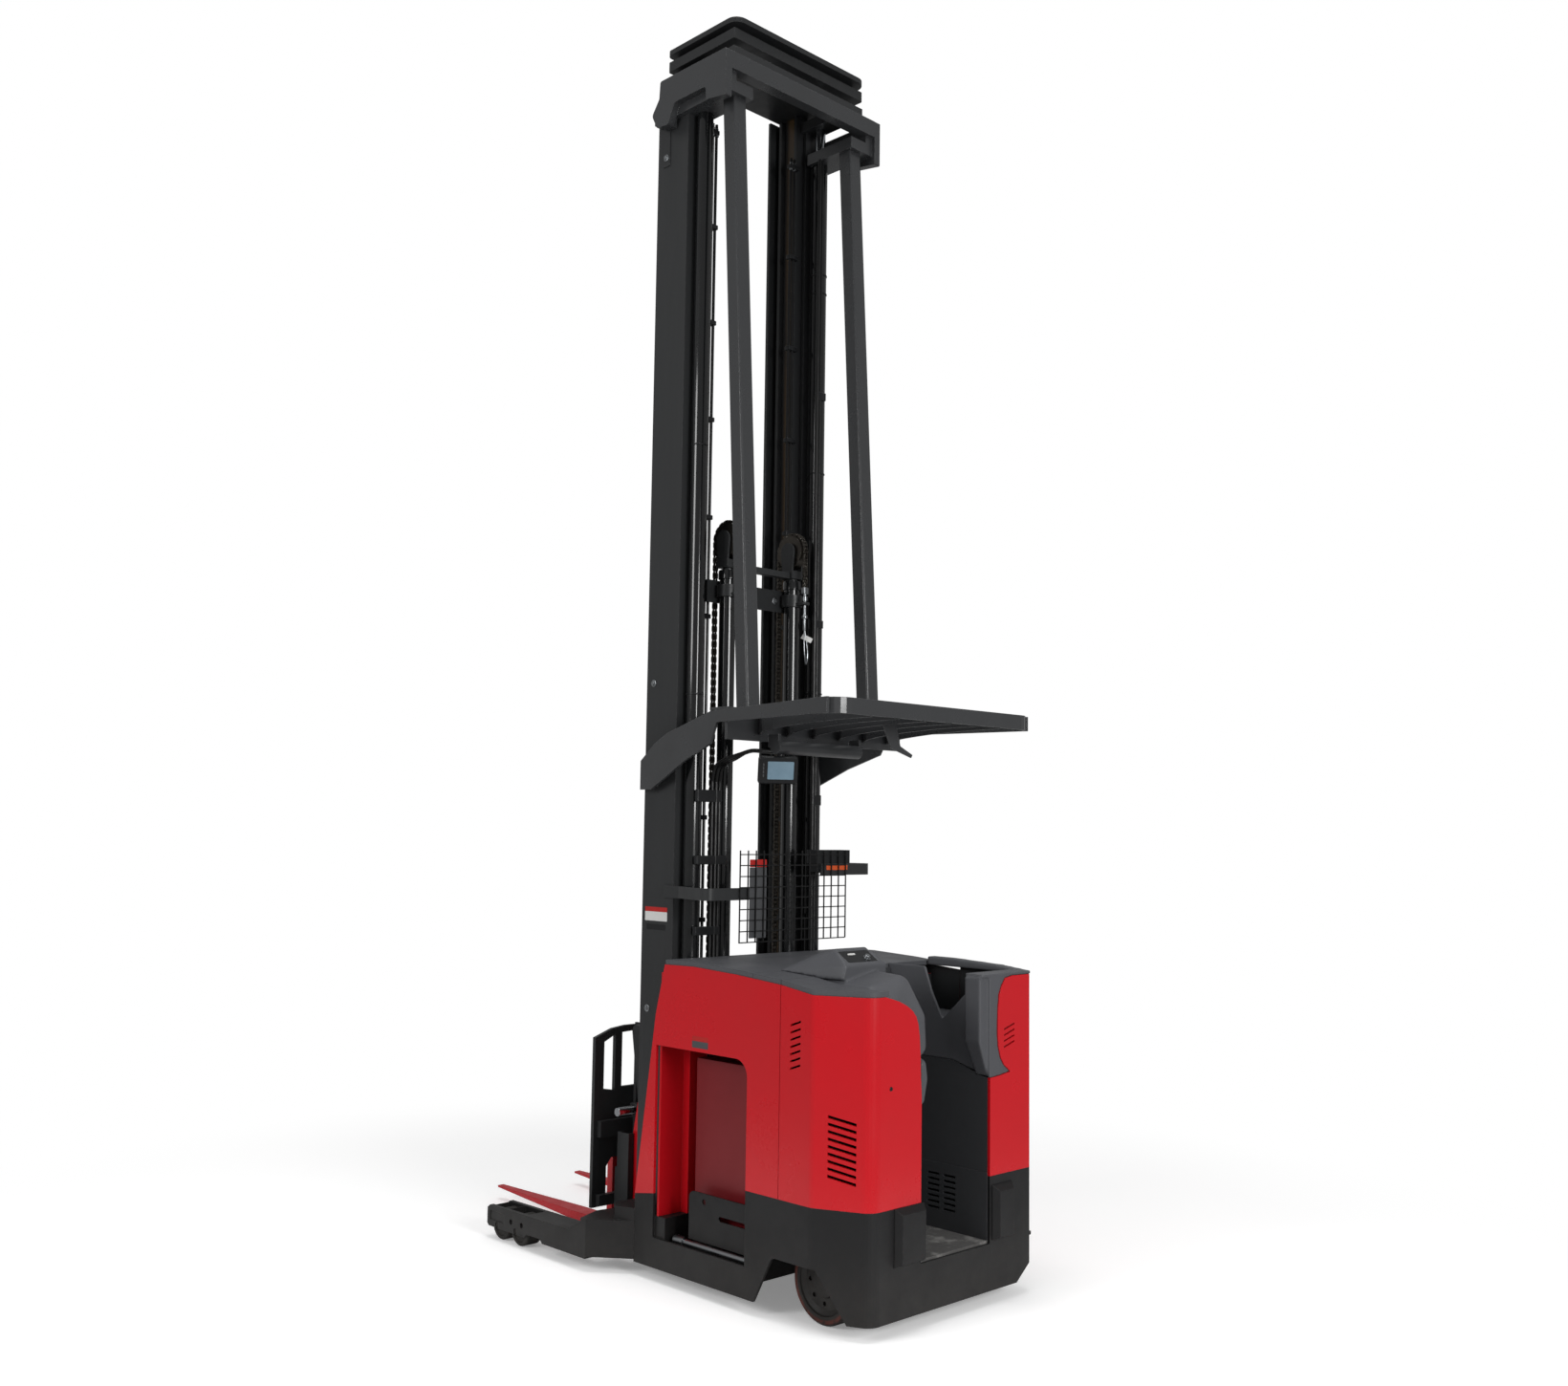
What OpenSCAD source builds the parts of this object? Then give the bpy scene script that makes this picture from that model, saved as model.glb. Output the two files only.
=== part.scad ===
// Stand-up reach truck with a three-stage mast, pantograph reach and overhead guard.
// X runs forward to the fork tips, Y to the truck's left and Z up. Outlines are drawn with x
// measured from the rear face and are moved together so that the origin is the middle of the base.

/* [Chassis] */
// Overall width of the chassis
body_w = 1216; // [1150:2:1260]
// Top of the black lower chassis along the sides
belt_z = 512; // [495:1:530]
// Ground clearance under the skirts
skirt_z = 60; // [50:1:75]
// Wall of the steel skirts and of the painted covers
wall = 14; // [10:1:16]
// Length of the cut-off left rear corner
corner_x = 240; // [200:5:280]
// Depth of the cut-off left rear corner across the truck
corner_y = 115; // [90:5:140]
// Front end of the lower chassis
front_x = 1383; // [1375:1:1400]
// Seam between the drive cover and the side panel
seam_x = 433; // [400:1:460]
// Height of the painted panels at their front end
panel_z = 1433; // [1400:1:1460]
// Fall of the panels from their front end to the seam
panel_fall = 30; // [10:1:40]
// Height of the drive cover along the rear
rear_z = 1376; // [1350:1:1390]
// Thickness of the moulded top covers
cover_t = 22; // [16:1:28]

/* [Battery compartment] */
// Rear wall of the compartment
bay_x0 = 608; // [600:1:615]
// Front wall of the compartment
bay_x1 = 1180; // [1170:1:1184]
// Bottom of the opening in the side panel
bay_z0 = 195; // [190:1:205]
// Top of the opening in the side panel
bay_z1 = 1062; // [1020:1:1100]
// Corner radius of the opening
bay_r = 75; // [40:5:100]
// Length of the battery along the truck
battery_l = 452; // [400:1:480]
// Depth of the battery gates behind the side panels
gate_in = 48; // [40:1:60]
// Gap between the battery and each gate
battery_gap = 54; // [20:1:60]
// Height of the battery
battery_h = 800; // [700:5:820]
// Radius of the rollers under the battery
roller_r = 16; // [12:0.5:18]
// Number of rollers under the battery
roller_n = 7; // [5:1:9]

/* [Operator compartment] */
// Width of the drive compartment, from the left side to the entry
drive_bay_w = 418; // [400:1:430]
// Width of the right rear pillar, from the right side to the entry
pillar_w = 333; // [310:1:345]
// Height of the floor
floor_z = 262; // [250:1:275]
// Thickness of the floor mat
mat_t = 12; // [8:1:16]
// Height of the right side rim
rim_z = 1440; // [1420:1:1460]
// Lower edge of the moulded trim on the right pillar
trim_z = 985; // [950:5:1020]

/* [Drive unit and wheels] */
// Diameter of the drive wheel
drive_d = 343; // [330:1:350]
// Width of the drive wheel
drive_w = 140; // [120:1:150]
// Place of the drive wheel along the truck
drive_x = 298; // [290:1:310]
// Depth of the drive wheel's middle behind the left side
drive_in = 204; // [200:1:208]
// Diameter of the two caster wheels
caster_d = 178; // [160:1:190]
// Trail of the caster
caster_trail = 45; // [30:1:55]
// Diameter of the load wheels
load_d = 150; // [140:1:154]
// Width of the load wheels
load_w = 88; // [70:1:92]
// Place of the front load wheel
load_x = 2285; // [2275:1:2290]
// Distance between the two load wheels of a leg
load_gap = 160; // [158:1:175]
// Radial running clearance of every wheel on its axle
axle_gap = 0.05; // [0.02:0.01:0.1]

/* [Base legs] */
// Distance of the base legs' inner faces outside the chassis
leg_out = 7; // [5:1:20]
// Width of a base leg
leg_w = 140; // [130:1:150]
// Top of the base legs
leg_z = 163; // [160:1:170]
// Tip of the base legs
leg_tip = 2372; // [2365:1:2390]

/* [Mast] */
// Outer face of the outer rails
mast_y = 480; // [476:1:484]
// Rear edge of the outer rails
mast_x0 = 1303; // [1300:1:1306]
// Depth of the outer rails
mast_d = 229; // [225:1:235]
// Flange thickness of every rail
flange = 18; // [14:1:20]
// Gap between the nested rails
rail_gap = 6; // [5:0.5:7]
// Top of the outer rails
mast_z = 5600; // [5585:1:5640]
// Height of the middle stage above the outer rails
mid_rise = 200; // [190:1:210]
// Height of the inner stage above the middle one
in_rise = 90; // [80:1:100]
// Height of the mast's cover above the inner rails
cap_h = 106; // [90:1:120]
// Radius of the main lift cylinders
lift_r = 40; // [34:1:42]
// Radius of the free-lift cylinders
free_r = 40; // [30:1:42]
// Place of the free-lift cylinders across the truck
free_y = 222; // [200:1:240]
// Height of the sheave centres
sheave_z = 3480; // [3300:10:3600]
// Radius of the chain sheaves
sheave_r = 85; // [70:1:90]

/* [Overhead guard] */
// Top of the guard
guard_z = 2613; // [2590:1:2640]
// Height of the guard's rim
guard_h = 68; // [55:1:80]
// Half width of the guard at its rear edge
guard_y = 690; // [670:1:710]
// Rear edge of the guard
guard_x = 60; // [40:5:90]
// Side of the square braces
brace_w = 82; // [70:1:90]

/* [Reach and forks] */
// Length of the pantograph arms between their end pivots
arm_l = 900; // [860:5:910]
// Run of an arm between its end pivots with the reach drawn in
arm_run = 180; // [170:1:190]
// Height of the upper arm pivots
arm_z = 1040; // [1035:1:1060]
// Rear face of the load backrest
rest_x = 1910; // [1905:1:1925]
// Thickness of the load backrest
rest_t = 22; // [16:1:25]
// Length of the fork blades
fork_l = 1015; // [900:5:1070]
// Distance of each fork from the middle
fork_y = 262; // [250:1:275]
// Width of the forks
fork_w = 96; // [80:1:110]
// Top of the fork blades
fork_z = 80; // [75:1:90]
// Thickness of the forks
fork_t = 42; // [32:1:45]
// Half width of the load backrest
rest_y = 454; // [430:1:470]
// Top of the load backrest
rest_z = 1058; // [1000:1:1070]

/* [Hidden] */
$fn = 48;
red = "#c8141e";
dark = "#2b2c2e";
charcoal = "#3c3d3f";
plastic = "#4b4c4e";
gloss = "#1d1e20";
steel = "#9a9c9e";
rubber = "#1a1a1b";

half_w = body_w / 2;
inner_w = half_w - wall;
entry_y1 = half_w - drive_bay_w;
entry_y0 = pillar_w - half_w;
drive_y = half_w - drive_in;
leg_y0 = half_w + leg_out;
battery_w = 2 * (inner_w - gate_in - battery_gap);
seat = 0.3;
run_gap = 5;
mast_x1 = mast_x0 + mast_d;
post_d = 32;
fork_x = rest_x + rest_t + seat + fork_t;
tip_x = fork_x + fork_l;
mid_x = (tip_x - post_d) / 2;
seam_z = panel_z - panel_fall;
eps = 1;
arc_n = 6;

// Moves truck coordinates, with x measured from the rear face, to the part's origin
module truck() {
  translate([-mid_x, 0, 0]) children();
}

module both_sides() {
  children();
  mirror([0, 1, 0]) children();
}

// Plate of thickness t on the outline pts of x and z, from y to y + t
module side_plate(y, t, pts) {
  translate([0, y + t, 0]) rotate([90, 0, 0]) linear_extrude(t) polygon(pts);
}

// Plate of thickness t on the outline pts of y and z, from x to x + t
module cross_plate(x, t, pts) {
  translate([x, 0, 0]) rotate([90, 0, 90]) linear_extrude(t) polygon(pts);
}

// Upright wall on the outline pts of x and y, from z0 to z1
module plan_wall(z0, z1, pts) {
  translate([0, 0, z0]) linear_extrude(z1 - z0) polygon(pts);
}

// Box between two corners
module span(a, b) {
  translate(a) cube(b - a);
}

// Points of the arc that rounds corner b of an outline a, b, c to radius r
function arc(a, b, c, r) =
  let (u = (a - b) / norm(a - b), v = (c - b) / norm(c - b), half = acos(u * v) / 2,
    m = b + (u + v) / norm(u + v) * r / sin(half), p = b + u * r / tan(half) - m,
    q = b + v * r / tan(half) - m, from = atan2(p.y, p.x),
    turn = (atan2(q.y, q.x) - from + 540) % 360 - 180)
  [for (i = [0:arc_n]) m + r * [cos(from + turn * i / arc_n), sin(from + turn * i / arc_n)]];

// Outline pts of x, y and a radius, with its corners rounded to that radius
function rounded(pts) =
  let (n = len(pts), xy = [for (p = pts) [p.x, p.y]])
  [for (i = [0:n - 1])
    each pts[i].z > 0 ? arc(xy[(i + n - 1) % n], xy[i], xy[(i + 1) % n], pts[i].z) : [xy[i]]];

module rod_x(x0, x1, y, z, r) {
  translate([x0, y, z]) rotate([0, 90, 0]) cylinder(r = r, h = x1 - x0);
}

module rod_y(x, y0, y1, z, r) {
  translate([x, y1, z]) rotate([90, 0, 0]) cylinder(r = r, h = y1 - y0);
}

module rod_z(x, y, z0, z1, r) {
  translate([x, y, z0]) cylinder(r = r, h = z1 - z0);
}

// Upper edge of the painted panels along the truck
panel_top = [
  [0, rear_z], [corner_x, rear_z], [seam_x, seam_z], [713, seam_z + 21], [1000, panel_z + 4],
  [1200, panel_z]
];

// Outline from a to b above that edge, between x0 and x1
function band(x0, x1, a, b) =
  let (xs = concat([x0], [for (p = panel_top) if (p.x > x0 && p.x < x1) p.x], [x1]), n = len(xs) - 1)
  concat([for (x = xs) [x, lookup(x, panel_top) + a]],
    [for (i = [n:-1:0]) [xs[i], lookup(xs[i], panel_top) + b]]);

// Lower chassis

fold_r = 70;
arch_x0 = 95;
arch_x1 = 577;
arch_top = 266;
strip_x = 1250;
panel_front_z = 369;
open_x0 = 633;
deck_z = 430;
deck_t = 16;
cross_x1 = mast_x0 - run_gap;
shelf_t = 16;
shelf_z = 68;
cross_z = 290;
step_cut = 70;
right_corner = 45;
pillar_belt = belt_z + 40;
skirt_pts = [
  [front_x, skirt_z], [front_x, panel_front_z], [strip_x, panel_front_z + 22], [strip_x, bay_z0],
  [open_x0, bay_z0], [open_x0, belt_z], [corner_x + 29, belt_z], [corner_x + 29, skirt_z]
];
arch_pts = [
  [arch_x1, skirt_z - eps], [470, 257], [452, arch_top], [220, arch_top], [arch_x0, skirt_z - eps]
];

// Wall along the cut-off left rear corner and the rear face, between heights z0 and z1
module corner_wall(z0, z1) {
  plan_wall(z0, z1, concat([[corner_x + 30, half_w]],
    arc([corner_x + 40, half_w], [corner_x, half_w], [0, half_w - corner_y], fold_r),
    arc([corner_x, half_w], [0, half_w - corner_y], [0, entry_y1], fold_r),
    [[0, entry_y1], [wall, entry_y1]],
    arc([wall, entry_y1], [wall, inner_w - corner_y + 5], [corner_x, inner_w], fold_r - wall),
    arc([wall, inner_w - corner_y + 5], [corner_x, inner_w], [corner_x + 40, inner_w],
      fold_r - wall), [[corner_x + 30, inner_w]]));
}

module frame_base() {
  color(dark) truck() {
    difference() {
      union() {
        side_plate(inner_w, wall, skirt_pts);
        corner_wall(skirt_z, belt_z);
      }
      side_plate(half_w - corner_y - 60, corner_y + 61, arch_pts);
    }
    difference() {
      side_plate(-half_w, wall, [
        [front_x, skirt_z], [front_x, panel_front_z], [strip_x, panel_front_z + 22],
        [strip_x, bay_z0], [open_x0, bay_z0], [open_x0, belt_z], [seam_x, belt_z],
        [seam_x, pillar_belt], [right_corner, pillar_belt], [right_corner, skirt_z]
      ]);
      side_plate(-half_w - eps, wall + 2 * eps, [
        [arch_x1, skirt_z - eps], [arch_x1 - 60, 131], [0, 131], [0, skirt_z - eps]
      ]);
    }
    plan_wall(131, pillar_belt, [
      [right_corner, -half_w], [0, right_corner - half_w], [0, entry_y0], [wall, entry_y0],
      [wall, right_corner - half_w + 6], [right_corner, -inner_w]
    ]);
    cross_plate(0, wall, [
      [entry_y1, skirt_z], [entry_y1, floor_z], [entry_y0, floor_z], [entry_y0, 131 + eps],
      [right_corner - half_w, 131 + eps], [right_corner - half_w, 131], [-470, skirt_z]
    ]);
    span([wall, -inner_w, floor_z - deck_t], [bay_x0, entry_y1 - wall, floor_z]);
    difference() {
      span([wall, entry_y1 - wall, deck_z], [bay_x0, inner_w, deck_z + deck_t]);
      translate([0, 0, deck_z - eps]) linear_extrude(deck_t + 2 * eps)
        polygon([[0, inner_w - corner_y + 1], [corner_x, half_w], [0, half_w]]);
      rod_z(drive_x, drive_y, deck_z - eps, deck_z + deck_t + eps, ring_r);
    }
    span([wall - eps, entry_y1 - wall, floor_z - eps], [bay_x0, entry_y1 + eps, deck_z + deck_t]);
    span([bay_x0, -inner_w, 120], [bay_x0 + wall, inner_w, belt_z]);
    span([bay_x0 + wall, -inner_w, bay_z0 - 45], [bay_x1, inner_w, bay_z0 - 30]);
    span([bay_x1, -inner_w, shelf_z], [cross_x1, inner_w, cross_z]);
    both_sides() {
      span([cross_x1 - eps, mast_y + run_gap, shelf_z], [front_x, inner_w, cross_z]);
      rod_z(lift_x, lift_y, cross_z - eps, cross_z + 30, lift_r - 4);
    }
    span([cross_x1 - eps, -inner_w, shelf_z], [mast_x1 + 14, inner_w, shelf_z + shelf_t]);
  }
}

module bay_wall() {
  color(red) truck() {
    plan_wall(cross_z + seat, panel_z - 40, [
      [bay_x1, -460], [bay_x1, 460], [1226, 460], [1226, inner_w - seat], [1238, inner_w - seat],
      [1238, 448], [bay_x1 + 12, 448], [bay_x1 + 12, -448], [1238, -448], [1238, seat - inner_w],
      [1226, seat - inner_w], [1226, -460]
    ]);
    span([bay_x0, -inner_w + seat, belt_z + seat], [bay_x0 + 12, inner_w - seat, panel_z - 60]);
  }
}

// Painted side panel with the battery opening, drawn for the left side
module side_panel() {
  difference() {
    side_plate(inner_w, wall, [
      [seam_x, belt_z + seat], [seam_x, seam_z], [713, seam_z + 21], [1000, panel_z + 4],
      [1200, panel_z], [1258, 1205], [front_x, panel_front_z + seat],
      [strip_x, panel_front_z + 22 + seat], [open_x0, belt_z + seat]
    ]);
    hull() {
      span([open_x0, inner_w - eps, bay_z0 - 200], [strip_x, half_w + eps, bay_z1 - bay_r]);
      rod_y(open_x0 + bay_r, inner_w - eps, half_w + eps, bay_z1 - bay_r, bay_r);
      span([strip_x - 10, inner_w - eps, bay_z1 - 20], [strip_x, half_w + eps, bay_z1]);
    }
  }
}

module side_panel_left() {
  color(red) truck() side_panel();
}

module side_panel_right() {
  color(red) truck() mirror([0, 1, 0]) side_panel();
}

// Slanted louvre slots in a panel at y, stacked n high from z0
module slots(x0, len, z0, n, pitch, rise, h) {
  for (i = [0:n - 1])
    translate([0, 0, z0 + i * pitch])
      rotate([90, 0, 0]) linear_extrude(4 * wall, center = true)
        polygon([[x0, rise], [x0 + len, 0], [x0 + len, h], [x0, rise + h]]);
}

module drive_cover() {
  color(red) truck()
    difference() {
      union() {
        span([corner_x + 29, inner_w, belt_z + seat], [seam_x - 3, half_w, seam_z]);
        corner_wall(belt_z + seat, seam_z);
      }
      side_plate(-eps, half_w + 2 * eps, band(0, seam_x, 0, 60));
      cross_plate(-eps, wall + 2 * eps, [
        [entry_y1 - eps, rear_z + eps], [entry_y1 - eps, 940], [entry_y1 + 6, 1030],
        [entry_y1 + 9, 1124], [entry_y1 + 15, 1200], [entry_y1 + 24, 1250], [entry_y1 + 38, 1283],
        [entry_y1 + 60, 1308], [entry_y1 + 95, 1331], [entry_y1 + 140, 1351],
        [entry_y1 + 190, 1366], [saddle_y + 25, rear_z + eps]
      ]);
      translate([0, half_w, 0]) slots(309, 62, 1054, 7, 30, 22, 9);
      translate([corner_x / 2, half_w - corner_y / 2, 0]) rotate([0, 0, atan2(corner_y, corner_x)])
        slots(-62, 124, 640, 9, 30, -26, 13);
    }
}

trim_y = entry_y0 - 157;
pillar_top = rim_z - 22;

// Cut for the moulded trim in the pillar's rear face, drawn smaller by s
function trim_pts(s) = [
  [entry_y0 + eps, trim_z - 8 + s], [entry_y0 - 60, trim_z - 4 + s],
  [trim_y + 12 + s, trim_z + 7 + s], [trim_y + 26 + s, trim_z + 20], [entry_y0 - 100 + s, trim_z + 42],
  [entry_y0 - 76 + s, trim_z + 75], [entry_y0 - 60 + s, trim_z + 125],
  [entry_y0 - 54 + s, trim_z + 180], [entry_y0 - 56 + s, trim_z + 280],
  [entry_y0 - 64 + s, trim_z + 350], [entry_y0 - 82 + s, trim_z + 390],
  [entry_y0 - 110 + s, rim_z - 30], [trim_y + s, rim_z - 22 - eps], [trim_y + s, rim_z],
  [entry_y0 + eps, rim_z]
];

module rear_pillar() {
  color(red) truck()
    difference() {
      union() {
        span([right_corner, -half_w, pillar_belt + seat], [seam_x - 3, -inner_w, pillar_top]);
        plan_wall(pillar_belt + seat, pillar_top, [
          [right_corner, -half_w], [0, right_corner - half_w], [0, entry_y0], [wall, entry_y0],
          [wall, right_corner - half_w + 6], [right_corner, -inner_w]
        ]);
      }
      cross_plate(-eps, wall + 2 * eps, trim_pts(0));
      translate([0, entry_y0 - 137, 0]) rotate([0, 0, 90]) slots(-39, 77, 1100, 4, 26, 22, 8);
    }
}

// Moulded covers

cover_y = half_w - 2;
cover_y0 = entry_y1 + 30;

saddle_y = entry_y1 + 210;

module top_cover() {
  color(plastic) truck() {
    side_plate(-cover_y, 2 * cover_y, band(bay_x0, 1196, seat, cover_t));
    side_plate(cover_y0, cover_y - cover_y0, band(seam_x, bay_x0 - 2, seat, cover_t));
    intersection() {
      side_plate(saddle_y, cover_y - saddle_y, band(2, seam_x - 3, seat, cover_t));
      plan_wall(rear_z - 50, seam_z + 100, concat([[seam_x, saddle_y - eps], [seam_x, cover_y]],
        arc([seam_x, cover_y], [corner_x, cover_y], [2, cover_y - corner_y], fold_r),
        arc([corner_x, cover_y], [2, cover_y - corner_y], [2, saddle_y], fold_r),
        [[2, saddle_y - eps]]));
    }
  }
}

// Moulded console: saddle-shaped arm rest, sloped display pod and knee pad

rest_top = 1095;
pod_x0 = 288;
pod_x1 = 385;
pod_z0 = 1484;
pod_z1 = 1546;
pod_base = seam_z + 17;
pod_slope = atan2(pod_z1 - pod_z0, pod_x1 - pod_x0);

// Left wall of the operator compartment, drawn larger by s; its top is inside the arm rest
module inner_wall(s) {
  side_plate(entry_y1 - wall - seat - s, wall + 2 * s, [
    [wall, deck_z + deck_t + seat], [wall, rest_top - 5], [40 - s, rest_top + 30],
    [40 - s, 1240 + s], [90 - s, 1290 + s], [160 - s, 1380 + s], [300, 1395 + s],
    [bay_x0 - seat, 1380 + s], [bay_x0 - seat, deck_z + deck_t + seat]
  ]);
}

// Hull over balls, each given by its centre and its radius
module blob(balls) {
  hull() for (b = balls) translate(b[0]) sphere(r = b[1], $fn = 24);
}

module console() {
  color(plastic) truck() difference() {
    union() {
      blob([
        [[80, entry_y1 - 32, rest_top + 57], 57], [[85, entry_y1 - 22, 1262], 62],
        [[150, entry_y1 - 5, 1384], 60], [[300, entry_y1 - 5, 1398], 55],
        [[545, entry_y1 - 15, 1368], 45], [[75, saddle_y - 66, 1300], 55],
        [[150, saddle_y - 56, 1362], 50], [[380, saddle_y - 56, 1372], 50]
      ]);
      blob([
        [[48, entry_y1 - 40, 1070], 28], [[52, entry_y1 - 48, 1012], 32],
        [[50, entry_y1 - 38, 925], 24]
      ]);
      hull() {
        for (y = [entry_y1 - 56, entry_y1 + 132])
          translate([pod_x1, y, pod_z1 - 8]) sphere(r = 8, $fn = 16);
        for (y = [entry_y1 - 80, entry_y1 + 172])
          translate([pod_x0, y, pod_z0 - 8]) sphere(r = 8, $fn = 16);
        span([470, entry_y1 - 50, 1528], [472, entry_y1 + 120, 1530]);
        span([pod_x0 - 6, entry_y1 - 84, pod_base], [pod_x0, entry_y1 + 190, pod_base + 10]);
        span([638, entry_y1 - 70, pod_base], [640, entry_y1 + 245, pod_base + 12]);
      }
    }
    inner_wall(seat);
    side_plate(cover_y0, 300, band(seam_x - 10, bay_x0 + 60, -100, cover_t + seat));
    side_plate(saddle_y - seat, 300, band(0, seam_x, -100, cover_t + seat));
    side_plate(entry_y1 - 200, 500, band(bay_x0 - seat, 700, -100, cover_t + seat));
    translate([pod_x0, 0, pod_z0]) rotate([0, -pod_slope, 0])
      span([12, entry_y1 - 62, -4], [104, entry_y1 + 140, 30]);
  }
}

wall_belt = 565;

module side_rim() {
  color(plastic) truck() {
    side_plate(-half_w + 2, wall + 40, [
      [right_corner, pillar_top + seat], [600, pillar_top + seat], [600, rim_z + 18],
      [470, rim_z + 18], [183, rim_z + 6], [right_corner, rim_z - 8]
    ]);
    intersection() {
      cross_plate(2, wall, trim_pts(seat));
      span([0, -half_w, 0], [2 * wall, 0, pillar_top]);
    }
    plan_wall(pillar_top + seat, rim_z - 8, rounded([
      [110, 2 - half_w, 0], [2, 2 - half_w, 50], [2, entry_y0 + 55, 10], [110, entry_y0 + 40, 0]
    ]));
    hull() {
      span([wall + seat, entry_y0 - 150, trim_z + 150], [100, entry_y0 + 57, pillar_top + 1]);
      span([wall + seat, entry_y0 - 130, trim_z + 60], [90, entry_y0 + 20, trim_z + 80]);
      span([wall + seat, entry_y0 - 90, trim_z + seat], [80, entry_y0, trim_z + 10]);
    }
    side_plate(entry_y0 - wall, wall, [
      [60, trim_z + 8], [212, trim_z + 48], [bay_x0 - 4, trim_z + 48], [bay_x0 - 4, rim_z],
      [382, rim_z], [340, rim_z - 110], [276, 1212], [90, rim_z - 56], [60, rim_z - 40]
    ]);
    span([90, -inner_w + seat, 1196], [bay_x0 - 4, entry_y0 - wall + eps, 1210]);
  }
}

module operator_walls() {
  color(dark) truck() {
    inner_wall(0);
    span([bay_x0 - wall, entry_y0 + seat, floor_z + mat_t], [bay_x0 - seat, entry_y1 - wall - seat,
      pod_base - seat]);
    difference() {
      union() {
        side_plate(entry_y0 - wall, wall, [
          [wall + seat, floor_z + mat_t], [bay_x0 - wall + eps, floor_z + mat_t],
          [bay_x0 - wall + eps, trim_z + 48 - seat], [212, trim_z + 48 - seat],
          [84, trim_z + 8], [84, trim_z], [wall + seat, trim_z - 8]
        ]);
        span([wall + seat, entry_y0 - eps, floor_z + mat_t], [bay_x0 - wall + eps, entry_y0 + 3, wall_belt]);
      }
      for (x = [193, 286], i = [0:6])
        span([x, entry_y0 - wall - eps, 359 + i * 25], [x + 71, entry_y0 + 4, 369 + i * 25]);
    }
  }
}

module floor_mat() {
  color(rubber) truck()
    span([wall, entry_y0 - wall, floor_z], [bay_x0 - seat, entry_y1 - wall, floor_z + mat_t]);
}

// Rounded guard post on the rear face between y0 and y1
module bumper(y0, y1) {
  hull() {
    span([-3, y0, 275], [0, y1, belt_z]);
    span([-post_d, y0 + 20, 290], [-3, y1 - 20, belt_z - 25]);
  }
}

module bumper_posts() {
  color(dark) truck() {
    bumper(entry_y1 - 15, entry_y1 + 170);
    bumper(entry_y0 - 155, entry_y0 - 15);
  }
}

// Battery and its fittings

battery_x = bay_x0 + wall + 18;
battery_z = bay_z0 + roller_r + seat;

module battery() {
  color("#7d1a20") truck()
    span([battery_x, -battery_w / 2, battery_z],
      [battery_x + battery_l, battery_w / 2, battery_z + battery_h]);
}

module battery_gate() {
  color(dark) truck()
    difference() {
      side_plate(inner_w - gate_in, 8, rounded([
        [bay_x0 + wall + seat, battery_z + 8, 0], [1061, battery_z + 8, 0], [1061, 432, 30],
        [bay_x0 + wall + seat, 432, 0]
      ]));
      side_plate(inner_w - gate_in - eps, 10, rounded([
        [680, 330, 10], [860, 330, 10], [860, 352, 10], [680, 352, 10]
      ]));
      rod_y(960, inner_w - gate_in - eps, inner_w, 395, 12);
    }
}

module battery_rollers() {
  pitch = (2 * inner_w - 90) / (roller_n - 1);
  color(steel) truck()
    for (i = [0:roller_n - 1])
      rod_x(bay_x0 + wall + seat, 1150, -inner_w + 45 + i * pitch, bay_z0, roller_r);
  color(steel) truck() both_sides()
    rod_x(1090, 1152, inner_w - 45, bay_z0, roller_r + 7);
}

// Mast

lift_x = mast_x0 - lift_r - run_gap;
lift_y = 408;
rail_bot = shelf_z + shelf_t;
web = 16;
outer_in = mast_y - 80;
mid_y1 = mast_y - web - rail_gap;
mid_y0 = mid_y1 - 90;
mid_x0 = mast_x0 + flange + rail_gap;
mid_x1 = mast_x1 - flange - rail_gap;
mid_web = mid_y1 - 50;
inner_y1 = mid_web - rail_gap;
inner_y0 = inner_y1 - 84;
in_x0 = mid_x0 + flange + rail_gap;
in_x1 = mid_x1 - flange - rail_gap;
mid_bot = rail_bot + 8;
inner_bot = rail_bot + 8;
mid_top = mast_z + mid_rise;
in_top = mid_top + in_rise;
top_z = in_top + cap_h;
tie_z0 = mid_bot;
tie_z1 = 250;

module outer_mast() {
  color(charcoal) truck() both_sides()
    translate([0, 0, rail_bot]) linear_extrude(mast_z - rail_bot) difference() {
      translate([mast_x0, outer_in]) square([mast_d, 80]);
      translate([mast_x0 + flange, outer_in - eps]) square([mast_d - 2 * flange, 80 - web + eps]);
    }
}

head_x0 = 956;
head_y = 548;

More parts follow.
